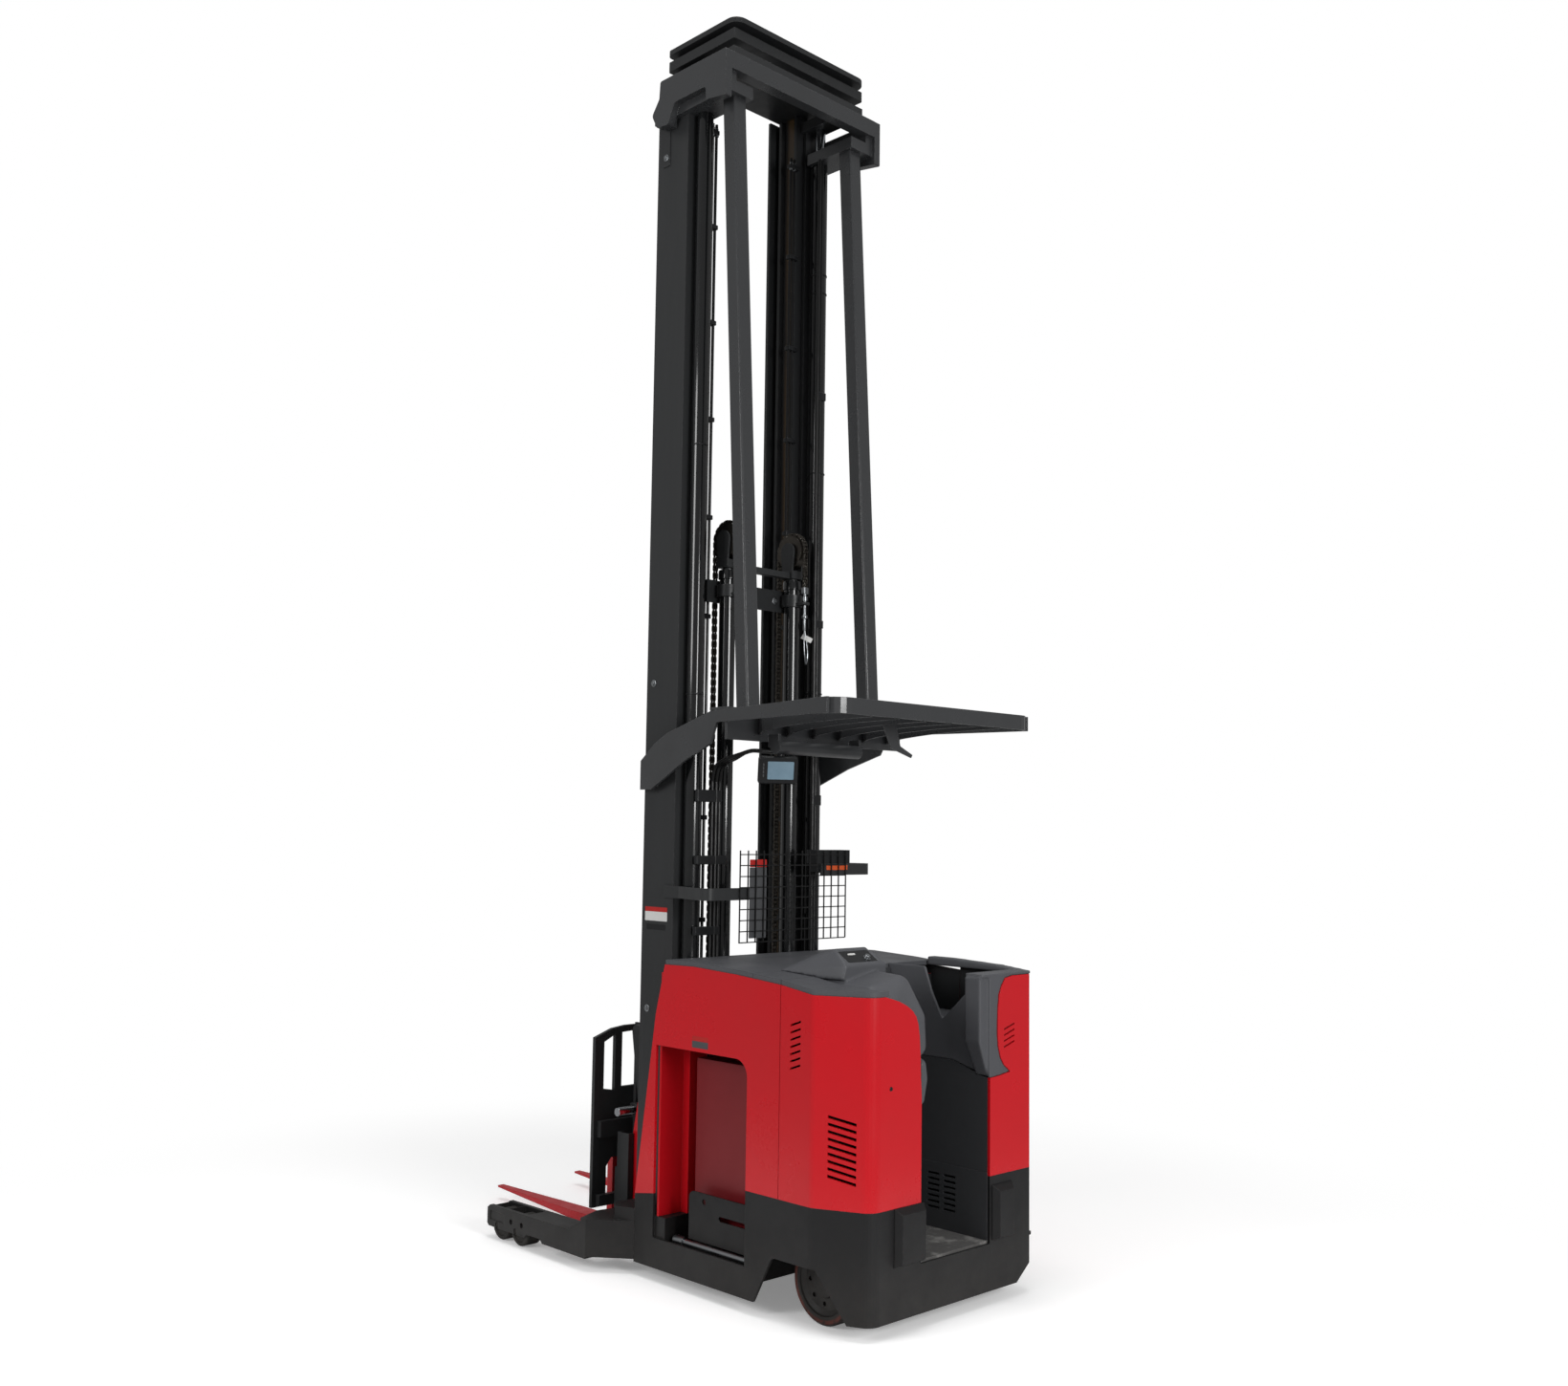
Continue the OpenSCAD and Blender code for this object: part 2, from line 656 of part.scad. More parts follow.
// Head of the outer mast: side plates, cap plates on the rails and a beam across the rear
module mast_head() {
  color(charcoal) truck() {
    both_sides() {
      side_plate(head_y - 40, 40, rounded([
        [head_x0, mast_z - 47, 6], [1096, mast_z - 25, 0], [1102, mast_z + 44, 20],
        [1338, mast_z + 45, 30], [1386, mast_z - 52, 12], [1468, mast_z - 44, 12],
        [1508, mast_z + 30, 25], [1454, mast_z + 101, 25], [1448, mast_z + 190, 12],
        [head_x0, mast_z + 187, 6]
      ]));
      side_plate(mast_y + seat, head_y - 39 - mast_y - seat, [
        [1392, mast_z - 46], [1460, mast_z - 40], [1490, mast_z + 30], [1444, mast_z + 101],
        [1392, mast_z + 101]
      ]);
      difference() {
        span([head_x0 + 20, 350, mast_z + seat], [mast_x1, head_y - 39, mast_z + 60]);
        span([mast_x0 - rail_gap, 340, mast_z], [mast_x0 + flange, outer_in, mast_z + 61]);
        span([mast_x0 + flange, 340, mast_z], [mast_x1 - flange, mast_y - web, mast_z + 61]);
        span([mast_x1 - flange - eps, 340, mast_z], [mast_x1 + eps, outer_in, mast_z + 61]);
        rod_z(lift_x, lift_y, mast_z, mast_z + 61, lift_r - tube_t);
      }
      span([head_x0, brace_y - 50, mast_z + 100], [head_x0 + 60, head_y - 39, mast_z + 185]);
      span([head_x0 + 20, brace_y + 50, mast_z + 59], [head_x0 + 60, head_y - 39, mast_z + 101]);
    }
    span([head_x0, -brace_y, mast_z + 100], [head_x0 + 60, brace_y, mast_z + 185]);
  }
}

tube_t = 9;
rod_step = 13;
gland_h = 60;

module lift_cylinders() {
  color(gloss) truck() both_sides()
    difference() {
      rod_z(lift_x, lift_y, cross_z + 30 + seat, mast_z, lift_r);
      rod_z(lift_x, lift_y, cross_z + 90, mast_z - gland_h, lift_r - tube_t);
      rod_z(lift_x, lift_y, cross_z + 90, mast_z + eps, lift_r - rod_step + seat);
    }
}

// Overhead guard

arm_slope = atan2(guard_y - mast_y - 32, mast_x1 - 102);
cross_tube_x = 775;
cross_tube_z = 2440;
guard_r = 95;
front_bar_x = 822;

// Side of the guard with its arm down to the mast, drawn in its own plane
module guard_side() {
  translate([mast_x1 - 2, mast_y + 32, 0]) rotate([0, 0, 180 - arm_slope])
    translate([0, 14, 0]) rotate([90, 0, 0]) linear_extrude(14) polygon([
      [0, 2246], [95, 2246], [385, 2377], [590, 2447], [640, guard_z - guard_h],
      [1440, guard_z - guard_h], [1440, guard_z], [600, guard_z - 14], [235, guard_z - 100],
      [122, guard_z - 147], [0, 2386]
    ]);
}

module overhead_guard() {
  color(charcoal) truck() {
    both_sides() guard_side();
    plan_wall(guard_z - guard_h, guard_z, concat([[guard_x + 130, guard_y - 16]],
      arc([guard_x + 140, guard_y - 17], [guard_x, guard_y], [guard_x, 0], guard_r),
      arc([guard_x, 0], [guard_x, -guard_y], [guard_x + 140, 17 - guard_y], guard_r),
      [[guard_x + 130, 16 - guard_y], [guard_x + 130, 30 - guard_y]],
      arc([guard_x + 140, 31 - guard_y], [guard_x + 14, 14 - guard_y], [guard_x + 14, 0],
        guard_r - 14),
      arc([guard_x + 14, 0], [guard_x + 14, guard_y - 14], [guard_x + 140, guard_y - 31],
        guard_r - 14), [[guard_x + 130, guard_y - 30]]));
    span([front_bar_x, -590, guard_z - 148], [front_bar_x + wall, 590, guard_z - 12]);
    both_sides() span([front_bar_x, 360, guard_z - 12], [940, 590, guard_z]);
    rod_y(cross_tube_x, -230, 330, cross_tube_z, 32);
    for (y = [-230, 315])
      span([cross_tube_x - 20, y, cross_tube_z], [front_bar_x + eps, y + 15, cross_tube_z + 60]);
    both_sides() span([mast_x1 - 102, mast_y + seat, 2260], [mast_x1 - 12, mast_y + 32, 2376]);
  }
}

slat_n = 6;
slat_pitch = 175;
slat_t = 10;
slat_end = front_bar_x - seat;

// Lower edge of a slat, which bows down towards its front end
function slat_low(x) = guard_z - guard_h - 4 - 46 * pow((x - guard_x) / (slat_end - guard_x), 2.3);

module guard_slats() {
  color(charcoal) truck()
    for (i = [0:slat_n - 1])
      translate([0, (i - (slat_n - 1) / 2) * slat_pitch, 0]) intersection() {
        side_plate(-80, 160, concat(
          [for (x = [guard_x + 14 + seat:50:slat_end - 30]) [x, slat_low(x)]],
          [[slat_end, slat_low(slat_end)], [slat_end, guard_z - 16],
            [guard_x + 14 + seat, guard_z - 8]]));
        plan_wall(guard_z - 200, guard_z, [
          [guard_x, 0], [slat_end - 150, 0], [slat_end - 70, -16], [slat_end + eps, -60],
          [slat_end + eps, slat_t - 58], [slat_end - 66, slat_t - 14],
          [slat_end - 150, slat_t], [guard_x, slat_t]
        ]);
      }
}

brace_y = 410;

module guard_braces() {
  color(charcoal) truck() both_sides() {
    hull() {
      for (x = [-1, 1], y = [-1, 1]) {
        translate([brace_x + x * (brace_w / 2 - 10), brace_y + y * (brace_w / 2 - 10), guard_z + 7])
          cylinder(r = 10, h = eps, $fn = 16);
        translate([head_x0 + 88 + x * (brace_w / 2 - 10), brace_y + y * (brace_w / 2 - 10),
          mast_z - eps]) cylinder(r = 10, h = eps, $fn = 16);
      }
    }
    plan_wall(guard_z + seat, guard_z + 8, rounded([
      [brace_x - 56, brace_y - 56, 12], [brace_x + 60, brace_y - 56, 12],
      [brace_x + 60, brace_y + 56, 12], [brace_x - 56, brace_y + 56, 12]
    ]));
  }
}

brace_x = 877;
mesh_x = 967;
mesh_y = 357;
mesh_z0 = 1535;
mesh_z1 = 1962;
mesh_pitch = 51;
wire = 2.5;

module mesh_screen() {
  color(gloss) truck() {
    for (y = [-mesh_y:mesh_pitch:mesh_y])
      span([mesh_x, y - wire, mesh_z0], [mesh_x + 2 * wire, y + wire, mesh_z1]);
    for (z = [mesh_z0:mesh_pitch:mesh_z1])
      span([mesh_x + wire, -mesh_y, z - wire], [mesh_x + 3 * wire, mesh_y, z + wire]);
  }
}

bar_h = 56;
bar_x = mesh_x + 3 * wire + seat;

// Flat bar from the screen round to the face of an outer rail, at height z
module screen_bar(z) {
  plan_wall(z, z + bar_h, concat([[bar_x, 190]],
    arc([bar_x, 190], [bar_x, 566], [mast_x0 - 60, mast_y + 10], 40),
    arc([bar_x, 566], [mast_x0 - 50, mast_y + 10], [mast_x0 + 60, mast_y + 10], 30),
    [[mast_x0 + 60, mast_y + 10], [mast_x0 + 60, mast_y + seat]],
    arc([mast_x0 + 60, mast_y + seat], [mast_x0 - 51, mast_y + seat], [bar_x + 10, 556], 30),
    arc([mast_x0 - 50, mast_y], [bar_x + 10, 556], [bar_x + 10, 190], 30), [[bar_x + 10, 190]]));
}

module mesh_brackets() {
  color(charcoal) truck() {
    screen_bar(1732);
    mirror([0, 1, 0]) screen_bar(1842);
  }
}

module mast_box() {
  color(gloss) truck() {
    plan_wall(1842 + bar_h + seat, 1965, rounded([
      [bar_x, -397, 8], [bar_x + 75, -397, 8], [bar_x + 75, -158, 8], [bar_x, -158, 8]
    ]));
    span([bar_x + 10 + seat, -390, 1860], [bar_x + 60, -165, 1842 + bar_h + seat + eps]);
  }
}

display_z = 2340;

// Box with rounded upright edges and a recessed screen, hung from the cross tube
module display() {
  color(gloss) truck() {
    translate([cross_tube_x + 22, 292, display_z]) rotate([0, -14, 30]) difference() {
      translate([0, 0, -56]) linear_extrude(112) polygon(rounded([
        [-24, -92, 10], [26, -78, 14], [26, 78, 14], [-24, 92, 10]
      ]));
      span([-24 - eps, -72, -42], [-20, 72, 42]);
    }
    rod_z(cross_tube_x + 5, 292, display_z + 44, cross_tube_z - 32 - seat, 12);
  }
}

module work_light() {
  color(gloss) truck() {
    cross_plate(330, 6, [
      [5, guard_z - 40], [slat_pitch / 2 - seat, guard_z - 40], [slat_pitch / 2 - seat, guard_z - 68],
      [30, guard_z - 177], [-110, guard_z - 215], [-118, guard_z - 201], [-34, guard_z - 165]
    ]);
    span([280, slat_pitch / 2 - seat - 6, guard_z - 68], [331, slat_pitch / 2 - seat, guard_z - 40]);
  }
}

// Base legs

module base_leg() {
  difference() {
    union() {
      side_plate(leg_y0, leg_w, [
        [1560, skirt_z], [1900, skirt_z], [1920, skirt_z + 18], [2030, skirt_z + 18],
        [2050, skirt_z], [leg_tip - 15, skirt_z], [leg_tip, skirt_z + 12], [leg_tip, leg_z - 15],
        [leg_tip - 20, leg_z], [1700, leg_z + 6], [1560, 240]
      ]);
      plan_wall(skirt_z + 10, 240, [
        [mast_x1 + 15, mast_y + 20], [mast_x1 + 15, inner_w], [front_x + seat, inner_w],
        [front_x + seat, half_w], [1560, leg_y0 + leg_w], [1600, leg_y0 + leg_w],
        [1660, leg_y0], [1640, mast_y + 20]
      ]);
      plan_wall(skirt_z + 10, 300, [
        [front_x + seat, mast_y + run_gap], [front_x + seat, half_w], [1480, half_w + 40],
        [1530, half_w], [1530, mast_y + run_gap]
      ]);
    }
    for (x = [load_x, load_x - load_gap]) {
      span([x - load_d / 2 - 4, leg_y0 + 22, skirt_z - eps],
        [x + load_d / 2 + 4, leg_y0 + leg_w - 22, leg_z + 20]);
      rod_y(x, leg_y0 - eps, leg_y0 + leg_w + eps, load_d / 2, 15 + axle_gap);
    }
    side_plate(leg_y0 + leg_w - 4, 4 + eps, rounded([
      [load_x - 60, 92, 10], [load_x + 68, 92, 10], [load_x + 62, 140, 10], [load_x - 60, 136, 10]
    ]));
    for (x = [load_x - load_gap + 40, load_x - load_gap - 50])
      rod_y(x, leg_y0 + leg_w - 12, leg_y0 + leg_w + eps, 112, 13);
    span([mast_x1 - 400, mast_y - 10, skirt_z], [mast_x1 + 15, inner_w + seat, shelf_z + shelf_t + 1]);
  }
}

module base_leg_left() {
  color(dark) truck() base_leg();
}

module base_leg_right() {
  color(dark) truck() mirror([0, 1, 0]) base_leg();
}

// Half section of a roller on a shaft, from its axis outwards
function roller_pts(w, r, shaft_w, shaft_r, edge) = [
  [0, -shaft_w / 2], [shaft_r, -shaft_w / 2], [shaft_r, -w / 2 + 6], [r * 0.72, -w / 2 + 6],
  [r * 0.78, -w / 2], [r - edge, -w / 2], [r, -w / 2 + edge], [r, w / 2 - edge], [r - edge, w / 2],
  [r * 0.78, w / 2], [r * 0.72, w / 2 - 6], [shaft_r, w / 2 - 6], [shaft_r, shaft_w / 2],
  [0, shaft_w / 2]
];

module load_wheel(x, side) {
  color(rubber) truck() translate([x, side * (leg_y0 + leg_w / 2), load_d / 2]) rotate([90, 0, 0])
    rotate_extrude() polygon(roller_pts(load_w, load_d / 2, leg_w - 8, 15, 5));
}

module load_wheel_lf() { load_wheel(load_x, 1); }

module load_wheel_lr() { load_wheel(load_x - load_gap, 1); }

module load_wheel_rf() { load_wheel(load_x, -1); }

module load_wheel_rr() { load_wheel(load_x - load_gap, -1); }

// Moving mast stages

// Pair of I-section rails between two faces and two edges, from z0 to z1
module i_rails(y0, y1, x0, x1, web_y, z0, z1) {
  both_sides() translate([0, 0, z0]) linear_extrude(z1 - z0) {
    translate([x0, y0]) square([flange, y1 - y0]);
    translate([x1 - flange, y0]) square([flange, y1 - y0]);
    translate([x0, web_y]) square([x1 - x0, web]);
  }
}

pad_h = 120;

// Wear pad at the foot of a rail, which rides against the next rail's web
module wear_pad(x0, x1, y, t, z) {
  span([x0, y - eps, z], [x0 + flange, y + t, z + pad_h]);
  span([x1 - flange, y - eps, z], [x1, y + t, z + pad_h]);
}

module middle_mast() {
  color(charcoal) truck() {
    i_rails(mid_y0, mid_y1, mid_x0, mid_x1, mid_web, mid_bot, mid_top);
    span([mid_x0 - 20, -mid_y0 - eps, tie_z0], [mid_x0 + flange, mid_y0 + eps, tie_z1]);
    both_sides() wear_pad(mid_x0, mid_x1, mid_y1, rail_gap - seat, mid_bot);
    difference() {
      span([1000, -457, mid_top - 2], [mid_x1, 457, mid_top + 50]);
      span([1050, -345, mid_top - 3], [mid_x1 + eps, 345, mid_top + 51]);
      both_sides() span([in_x0 - 4, inner_y0 - run_gap, mid_top - 3], [mid_x1 + eps,
        inner_y1 + run_gap, mid_top + 51]);
    }
  }
}

module lift_rods() {
  color(steel) truck() both_sides()
    rod_z(lift_x, lift_y, cross_z + 100, mid_top - 2, lift_r - rod_step);
}

module inner_mast() {
  color(charcoal) truck() {
    i_rails(inner_y0, inner_y1, in_x0, in_x1, inner_y0 + 30, inner_bot, in_top);
    both_sides() wear_pad(in_x0, in_x1, inner_y1, rail_gap - seat, inner_bot);
    span([free_x - free_r - 2, -inner_y0 - eps, 300], [in_x0 + 16, inner_y0 + eps, 316]);
    plan_wall(in_top - 1, in_top + 50, rounded([
      [1000, -457, 10], [1497, -457, 10], [1497, 457, 10], [1000, 457, 10]
    ]));
    plan_wall(top_z - 26, top_z, rounded([
      [980, -465, 60], [1500, -465, 30], [1500, 465, 30], [980, 465, 60]
    ]));
    span([1040, -420, in_top + 49], [1460, 420, top_z - 25]);
    span([clamp_x, -inner_y0, clamp_z], [clamp_x + 12, inner_y0, clamp_z + 110]);
    both_sides() {
      span([clamp_x, inner_y0 - 12, clamp_z], [in_x0 + eps, inner_y0 + eps, clamp_z + 110]);
      difference() {
        rod_z(free_x, free_y, clamp_z + 25, clamp_z + 85, free_r + 14);
        rod_z(free_x, free_y, clamp_z, clamp_z + 110, free_r + seat);
      }
    }
  }
}

free_x = 1240;
clamp_x = free_x + free_r + 2;
clamp_z = sheave_z - 310;

module free_lift_cylinders() {
  color(gloss) truck() both_sides()
    difference() {
      rod_z(free_x, free_y, 316 + seat, sheave_z - 150, free_r);
      rod_z(free_x, free_y, 360, sheave_z - 150 - gland_h, free_r - tube_t);
      rod_z(free_x, free_y, 360, sheave_z, free_r - rod_step + seat);
    }
}

module crosshead() {
  color(charcoal) truck() {
    both_sides() {
      rod_z(free_x, free_y, 370, sheave_z - 120, free_r - rod_step);
      span([free_x - 40, free_y - 40, sheave_z - 140], [free_x + 40, free_y + 40, sheave_z - 100]);
      for (y = [free_y - 38, free_y + 28]) {
        side_plate(y, 10, [
          [free_x - 36, sheave_z - 101], [free_x + 36, sheave_z - 101], [free_x + 46, sheave_z],
          [free_x - 46, sheave_z]
        ]);
        rod_y(free_x, y, y + 10, sheave_z, 46);
      }
      rod_y(free_x, free_y - 38, free_y + 38, sheave_z, 14);
    }
    span([free_x - 20, -free_y, sheave_z - 140], [free_x + 20, free_y, sheave_z - 110]);
  }
}

module sheaves() {
  color(gloss) truck() both_sides()
    difference() {
      rod_y(free_x, free_y - 22, free_y + 22, sheave_z, sheave_r);
      rod_y(free_x, free_y - 23, free_y + 23, sheave_z, 14 + axle_gap);
    }
}

module lift_chains() {
  color(gloss) truck() both_sides()
    difference() {
      rod_y(free_x, free_y - 16, free_y + 16, sheave_z, sheave_r + 14);
      rod_y(free_x, free_y - 17, free_y + 17, sheave_z, sheave_r + seat);
      span([free_x - 120, free_y - 30, sheave_z - 120], [free_x + 120, free_y + 30, sheave_z]);
    }
}

// Reach mechanism

run_x = mast_x1 + 70;
arm_drop = sqrt(arm_l * arm_l - arm_run * arm_run);
arm_low = arm_z - arm_drop;
arm_y = 300;
arm_t = 30;
arm_h = 70;
pin_r = 18;
track_r = 30;
track_w = 20;
track_t = 12;
track_gap = 2;
out_y0 = arm_y;
in_y0 = arm_y - arm_t - run_gap;
reach_x = run_x + arm_run;

// Upright channel round the path of an arm's roller at x, open towards +Y, with its web at y
module track(x, y) {
  z0 = arm_low - track_r - 12;
  h = arm_l * (cos(arm_turn0) - cos(arm_turn1)) + 2 * track_r + 24;
  for (side = [-1, 1])
    span([x + side * (track_r + track_gap + track_t / 2) - track_t / 2, y, z0],
      [x + side * (track_r + track_gap + track_t / 2) + track_t / 2, y + track_t + track_w, z0 + h]);
  span([x - track_r - track_gap - eps, y, z0], [x + track_r + track_gap + eps, y + 8, z0 + h]);
}

module mast_carriage() {
  color(charcoal) truck() {
    both_sides() {
      span([in_x0 + flange + run_gap, 255, 150], [mast_x1 + 20, 275, 1050]);
      for (z = [250, 900]) {
        rod_y((in_x0 + in_x1) / 2, 274, inner_y0 + 26, z, (in_x1 - in_x0) / 2 - flange - seat);
        rod_y((in_x0 + in_x1) / 2, 248, 256, z, 30);
      }
      span([mast_x1 + 10, 255, 150], [mast_x1 + 24, arm_y + arm_t + run_gap + 18, 1080]);
      difference() {
        side_plate(arm_y + arm_t + run_gap, 18, [
          [mast_x1 + 10, arm_low + 40], [mast_x1 + 10, 1080], [run_x + 20, 1080],
          [run_x + 40, 1060], [run_x + 40, arm_z - 40], [mast_x1 + 50, arm_z - 120],
          [mast_x1 + 50, arm_low + 40]
        ]);
        rod_y(run_x, 0, 600, arm_z, pin_r + axle_gap);
      }
      translate([0, in_y0 - run_gap - track_w - track_t, 0]) track(run_x, 0);
    }
    for (z = [150, 600])
      span([mast_x1 + 10, -276, z], [run_x - track_r - track_gap - track_t + eps, 276, z + 80]);
    span([mast_x1 + 10, -276, 1000], [mast_x1 + 24, 276, 1050]);
  }
}

// Arm between two pivots of x and z, deepest at its middle, with round ends
module link(a, b, y, t, h) {
  d = b - a;
  l = norm(d);
  translate([a.x, y, a.y]) rotate([0, -atan2(d.y, d.x), 0]) {
    side_plate(0, t, [
      [0, -h / 2], [l / 2 - 60, -h * 0.68], [l / 2 + 60, -h * 0.68], [l, -h / 2], [l, h / 2],
      [l / 2 + 60, h * 0.68], [l / 2 - 60, h * 0.68], [0, h / 2]
    ]);
    rod_y(0, 0, t, 0, h / 2);
    rod_y(l, 0, t, 0, h / 2);
  }
}

arm_turn0 = asin(arm_run / arm_l);
arm_turn1 = 54;
mid_p = [run_x + arm_run / 2, arm_z - arm_drop / 2];

module reach_arms_outer() {
  color(red) truck() {
    both_sides() difference() {
      link([run_x, arm_z], [reach_x, arm_low], out_y0, arm_t, arm_h);
      rod_y(mid_p.x, out_y0 - eps, out_y0 + arm_t + eps, mid_p.y, pin_r + axle_gap);
    }
    both_sides() {
      rod_y(run_x, out_y0 + arm_t - eps, out_y0 + arm_t + 22, arm_z, pin_r);
      rod_y(reach_x, out_y0 + arm_t - eps, out_y0 + arm_t + run_gap + track_w, arm_low, 12);
      rod_y(reach_x, out_y0 + arm_t + run_gap, out_y0 + arm_t + run_gap + track_w, arm_low, track_r);
    }
  }
}

module reach_arms_inner() {
  color(charcoal) truck() {
    both_sides() link([run_x, arm_low], [reach_x, arm_z], in_y0, arm_t, arm_h);
    both_sides() rod_y(mid_p.x, in_y0 + arm_t - eps, out_y0 + arm_t + 4, mid_p.y, pin_r);
    rod_y(mid_p.x, -in_y0 - eps, in_y0 + eps, mid_p.y, 22);
    both_sides() {
      rod_y(reach_x, in_y0 - 20, in_y0 + eps, arm_z, pin_r);
      rod_y(run_x, in_y0 - run_gap - track_w, in_y0 + eps, arm_low, 12);
      rod_y(run_x, in_y0 - run_gap - track_w, in_y0 - run_gap, arm_low, track_r);
    }
  }
}

track_y = out_y0 + arm_t + run_gap + track_w + track_t;

module reach_frame() {
  color(charcoal) truck() {
    both_sides() difference() {
      side_plate(in_y0 - 20, 14, [
        [reach_x - 40, arm_z - 60], [reach_x - 40, arm_z + 40], [reach_x + 60, arm_z + 40],
        [reach_x + 60, 150], [reach_x + 40, 150], [reach_x + 40, arm_z - 60]
      ]);
      rod_y(reach_x, 0, 600, arm_z, pin_r + axle_gap);
    }
    span([reach_x + 44, -track_y, 150], [reach_x + 60, track_y, 380]);
    span([reach_x + 44, -in_y0 + 19, 700], [reach_x + 60, in_y0 - 19, 800]);
    both_sides() translate([0, track_y, 0]) mirror([0, 1, 0]) track(reach_x, 0);
    both_sides() {
      side_plate(155, 14, [
        [reach_x + 59, tilt_z - 40], [reach_x + 59, tilt_z + 40], [tilt_x + 12, tilt_z + 14],
        [tilt_x + 12, tilt_z - 14]
      ]);
      rod_y(tilt_x, 155, 188, tilt_z, 10);
    }
  }
}

// Fork carriage

tilt_z = 330;
tilt_x = reach_x + 80;
hook_x = reach_x + 100;

module fork_carriage() {
  color(charcoal) truck() {
    span([hook_x, -430, 520], [rest_x - seat, 430, 600]);
    span([hook_x, -430, 190], [rest_x - seat, 430, 240]);
    both_sides() {
      span([hook_x, 120, 239], [rest_x - seat, 190, 521]);
      difference() {
        side_plate(174, 14, [
          [hook_x + eps, tilt_z - 40], [hook_x + eps, tilt_z + 40], [tilt_x - 12, tilt_z + 20],
          [tilt_x - 12, tilt_z - 20]
        ]);
        rod_y(tilt_x, 100, 300, tilt_z, 10 + axle_gap);
      }
    }
  }
}

module load_backrest() {
  color(gloss) truck()
    difference() {
      cross_plate(rest_x, rest_t, concat(
        [[-rest_y, 178], [rest_y, 178], [rest_y, 1010], [346, 1048], [262, rest_z]],
        [[-262, rest_z], [-346, 1048], [-rest_y, 1010]]
      ));
      for (s = [-1, 1]) {
        cross_plate(rest_x - eps, rest_t + 2 * eps, [
          [s * 397, 753], [s * 397, 985], [s * 335, 1015], [s * 327, 1015], [s * 327, 740]
        ]);
        cross_plate(rest_x - eps, rest_t + 2 * eps, [
          [s * 284, 753], [s * 284, 1025], [s * 172, 1030], [s * 172, 753]
        ]);
      }
      cross_plate(rest_x - eps, rest_t + 2 * eps, [
        [137, 753], [137, 1032], [-137, 1032], [-137, 753]
      ]);
      cross_plate(rest_x - eps, rest_t + 2 * eps, [
        [369, 194], [369, 370], [338, 410], [-338, 410], [-369, 370], [-369, 194]
      ]);
    }
}

module fork(y) {
  translate([0, y - fork_w / 2, 0]) {
    span([fork_x - fork_t, 0, fork_z - fork_t], [fork_x, fork_w, 590]);
    hull() {
      span([fork_x - fork_t, 0, fork_z - fork_t], [fork_x + 300, fork_w, fork_z]);
      span([tip_x - 12, 30, fork_z - 14], [tip_x, fork_w - 30, fork_z - 4]);
    }
  }
}

module forks() {
  color(red) truck() {
    fork(fork_y);
    fork(-fork_y);
  }
}

// Drive unit and caster

ring_r = 120;

module drive_unit() {
  color(charcoal) truck() {
    rod_z(drive_x, drive_y, deck_z - 40, deck_z + deck_t + 60, ring_r - 0.5);
    rod_z(drive_x, drive_y, deck_z + deck_t + 60, 1000, 95);
    span([drive_x - 70, drive_y - drive_w / 2 - 60, drive_d / 2 - 70],
      [drive_x + 70, drive_y - drive_w / 2 - 12, deck_z - 39]);
    rod_y(drive_x, drive_y - drive_w / 2 - 59, drive_y + drive_w / 2 - 20, drive_d / 2, 30);
  }
}

hub_r = 30 + axle_gap;
tread_r = drive_d / 2;
hub_bolts = 8;

module drive_wheel() {
  color(rubber) truck() translate([drive_x, drive_y, tread_r]) rotate([-90, 0, 0]) difference() {
    rotate_extrude() polygon([
      [hub_r, -drive_w / 2], [tread_r - 12, -drive_w / 2], [tread_r, 10 - drive_w / 2],
      [tread_r, drive_w / 2 - 10], [tread_r - 10, drive_w / 2], [tread_r - 38, drive_w / 2],
      [tread_r - 42, drive_w / 2 - 8], [110, drive_w / 2 - 18], [62, drive_w / 2 - 18],
      [58, drive_w / 2 - 8], [0, drive_w / 2 - 8], [0, drive_w / 2 - 19], [hub_r, drive_w / 2 - 19]
    ]);
    for (i = [0:hub_bolts - 1]) rotate([0, 0, i * 360 / hub_bolts])
      translate([86, 0, drive_w / 2 - 30]) cylinder(r = 10, h = 30);
  }
}

caster_x = 300;
caster_y = -430;

module caster_fork() {
  color(charcoal) truck() {
    rod_z(caster_x + caster_trail, caster_y, 200, floor_z - deck_t - seat, 60);
    span([caster_x - 30, caster_y - 9, caster_d / 2 - 20], [caster_x + caster_trail + 30,
      caster_y + 9, 201]);
    rod_y(caster_x, caster_y - 60, caster_y + 60, caster_d / 2, 12);
  }
}

module caster_wheels() {
  color(rubber) truck()
    for (s = [-1, 1])
      difference() {
        rod_y(caster_x, caster_y + s * 38 - 24, caster_y + s * 38 + 24, caster_d / 2, caster_d / 2);
        rod_y(caster_x, caster_y - 90, caster_y + 90, caster_d / 2, 12 + axle_gap);
      }
}

frame_base();
bay_wall();
side_panel_left();
side_panel_right();
drive_cover();
rear_pillar();
top_cover();
console();
side_rim();
operator_walls();
floor_mat();
bumper_posts();
battery();
battery_gate();
battery_rollers();
outer_mast();
mast_head();
lift_cylinders();
overhead_guard();
guard_slats();
guard_braces();
mesh_screen();
mesh_brackets();
mast_box();
display();
work_light();
base_leg_left();
base_leg_right();
middle_mast();
lift_rods();
inner_mast();
free_lift_cylinders();
crosshead();
sheaves();
lift_chains();
mast_carriage();
reach_arms_outer();
reach_arms_inner();
reach_frame();
fork_carriage();
load_backrest();
forks();
drive_unit();
drive_wheel();
caster_fork();
caster_wheels();
load_wheel_lf();
load_wheel_lr();
load_wheel_rf();
load_wheel_rr();
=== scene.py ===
"""Looks of a stand-up reach truck: painted panels, steel mast, guard, forks and running gear."""

import math

import bmesh
import bpy
import numpy as np
from mathutils import Matrix, Vector


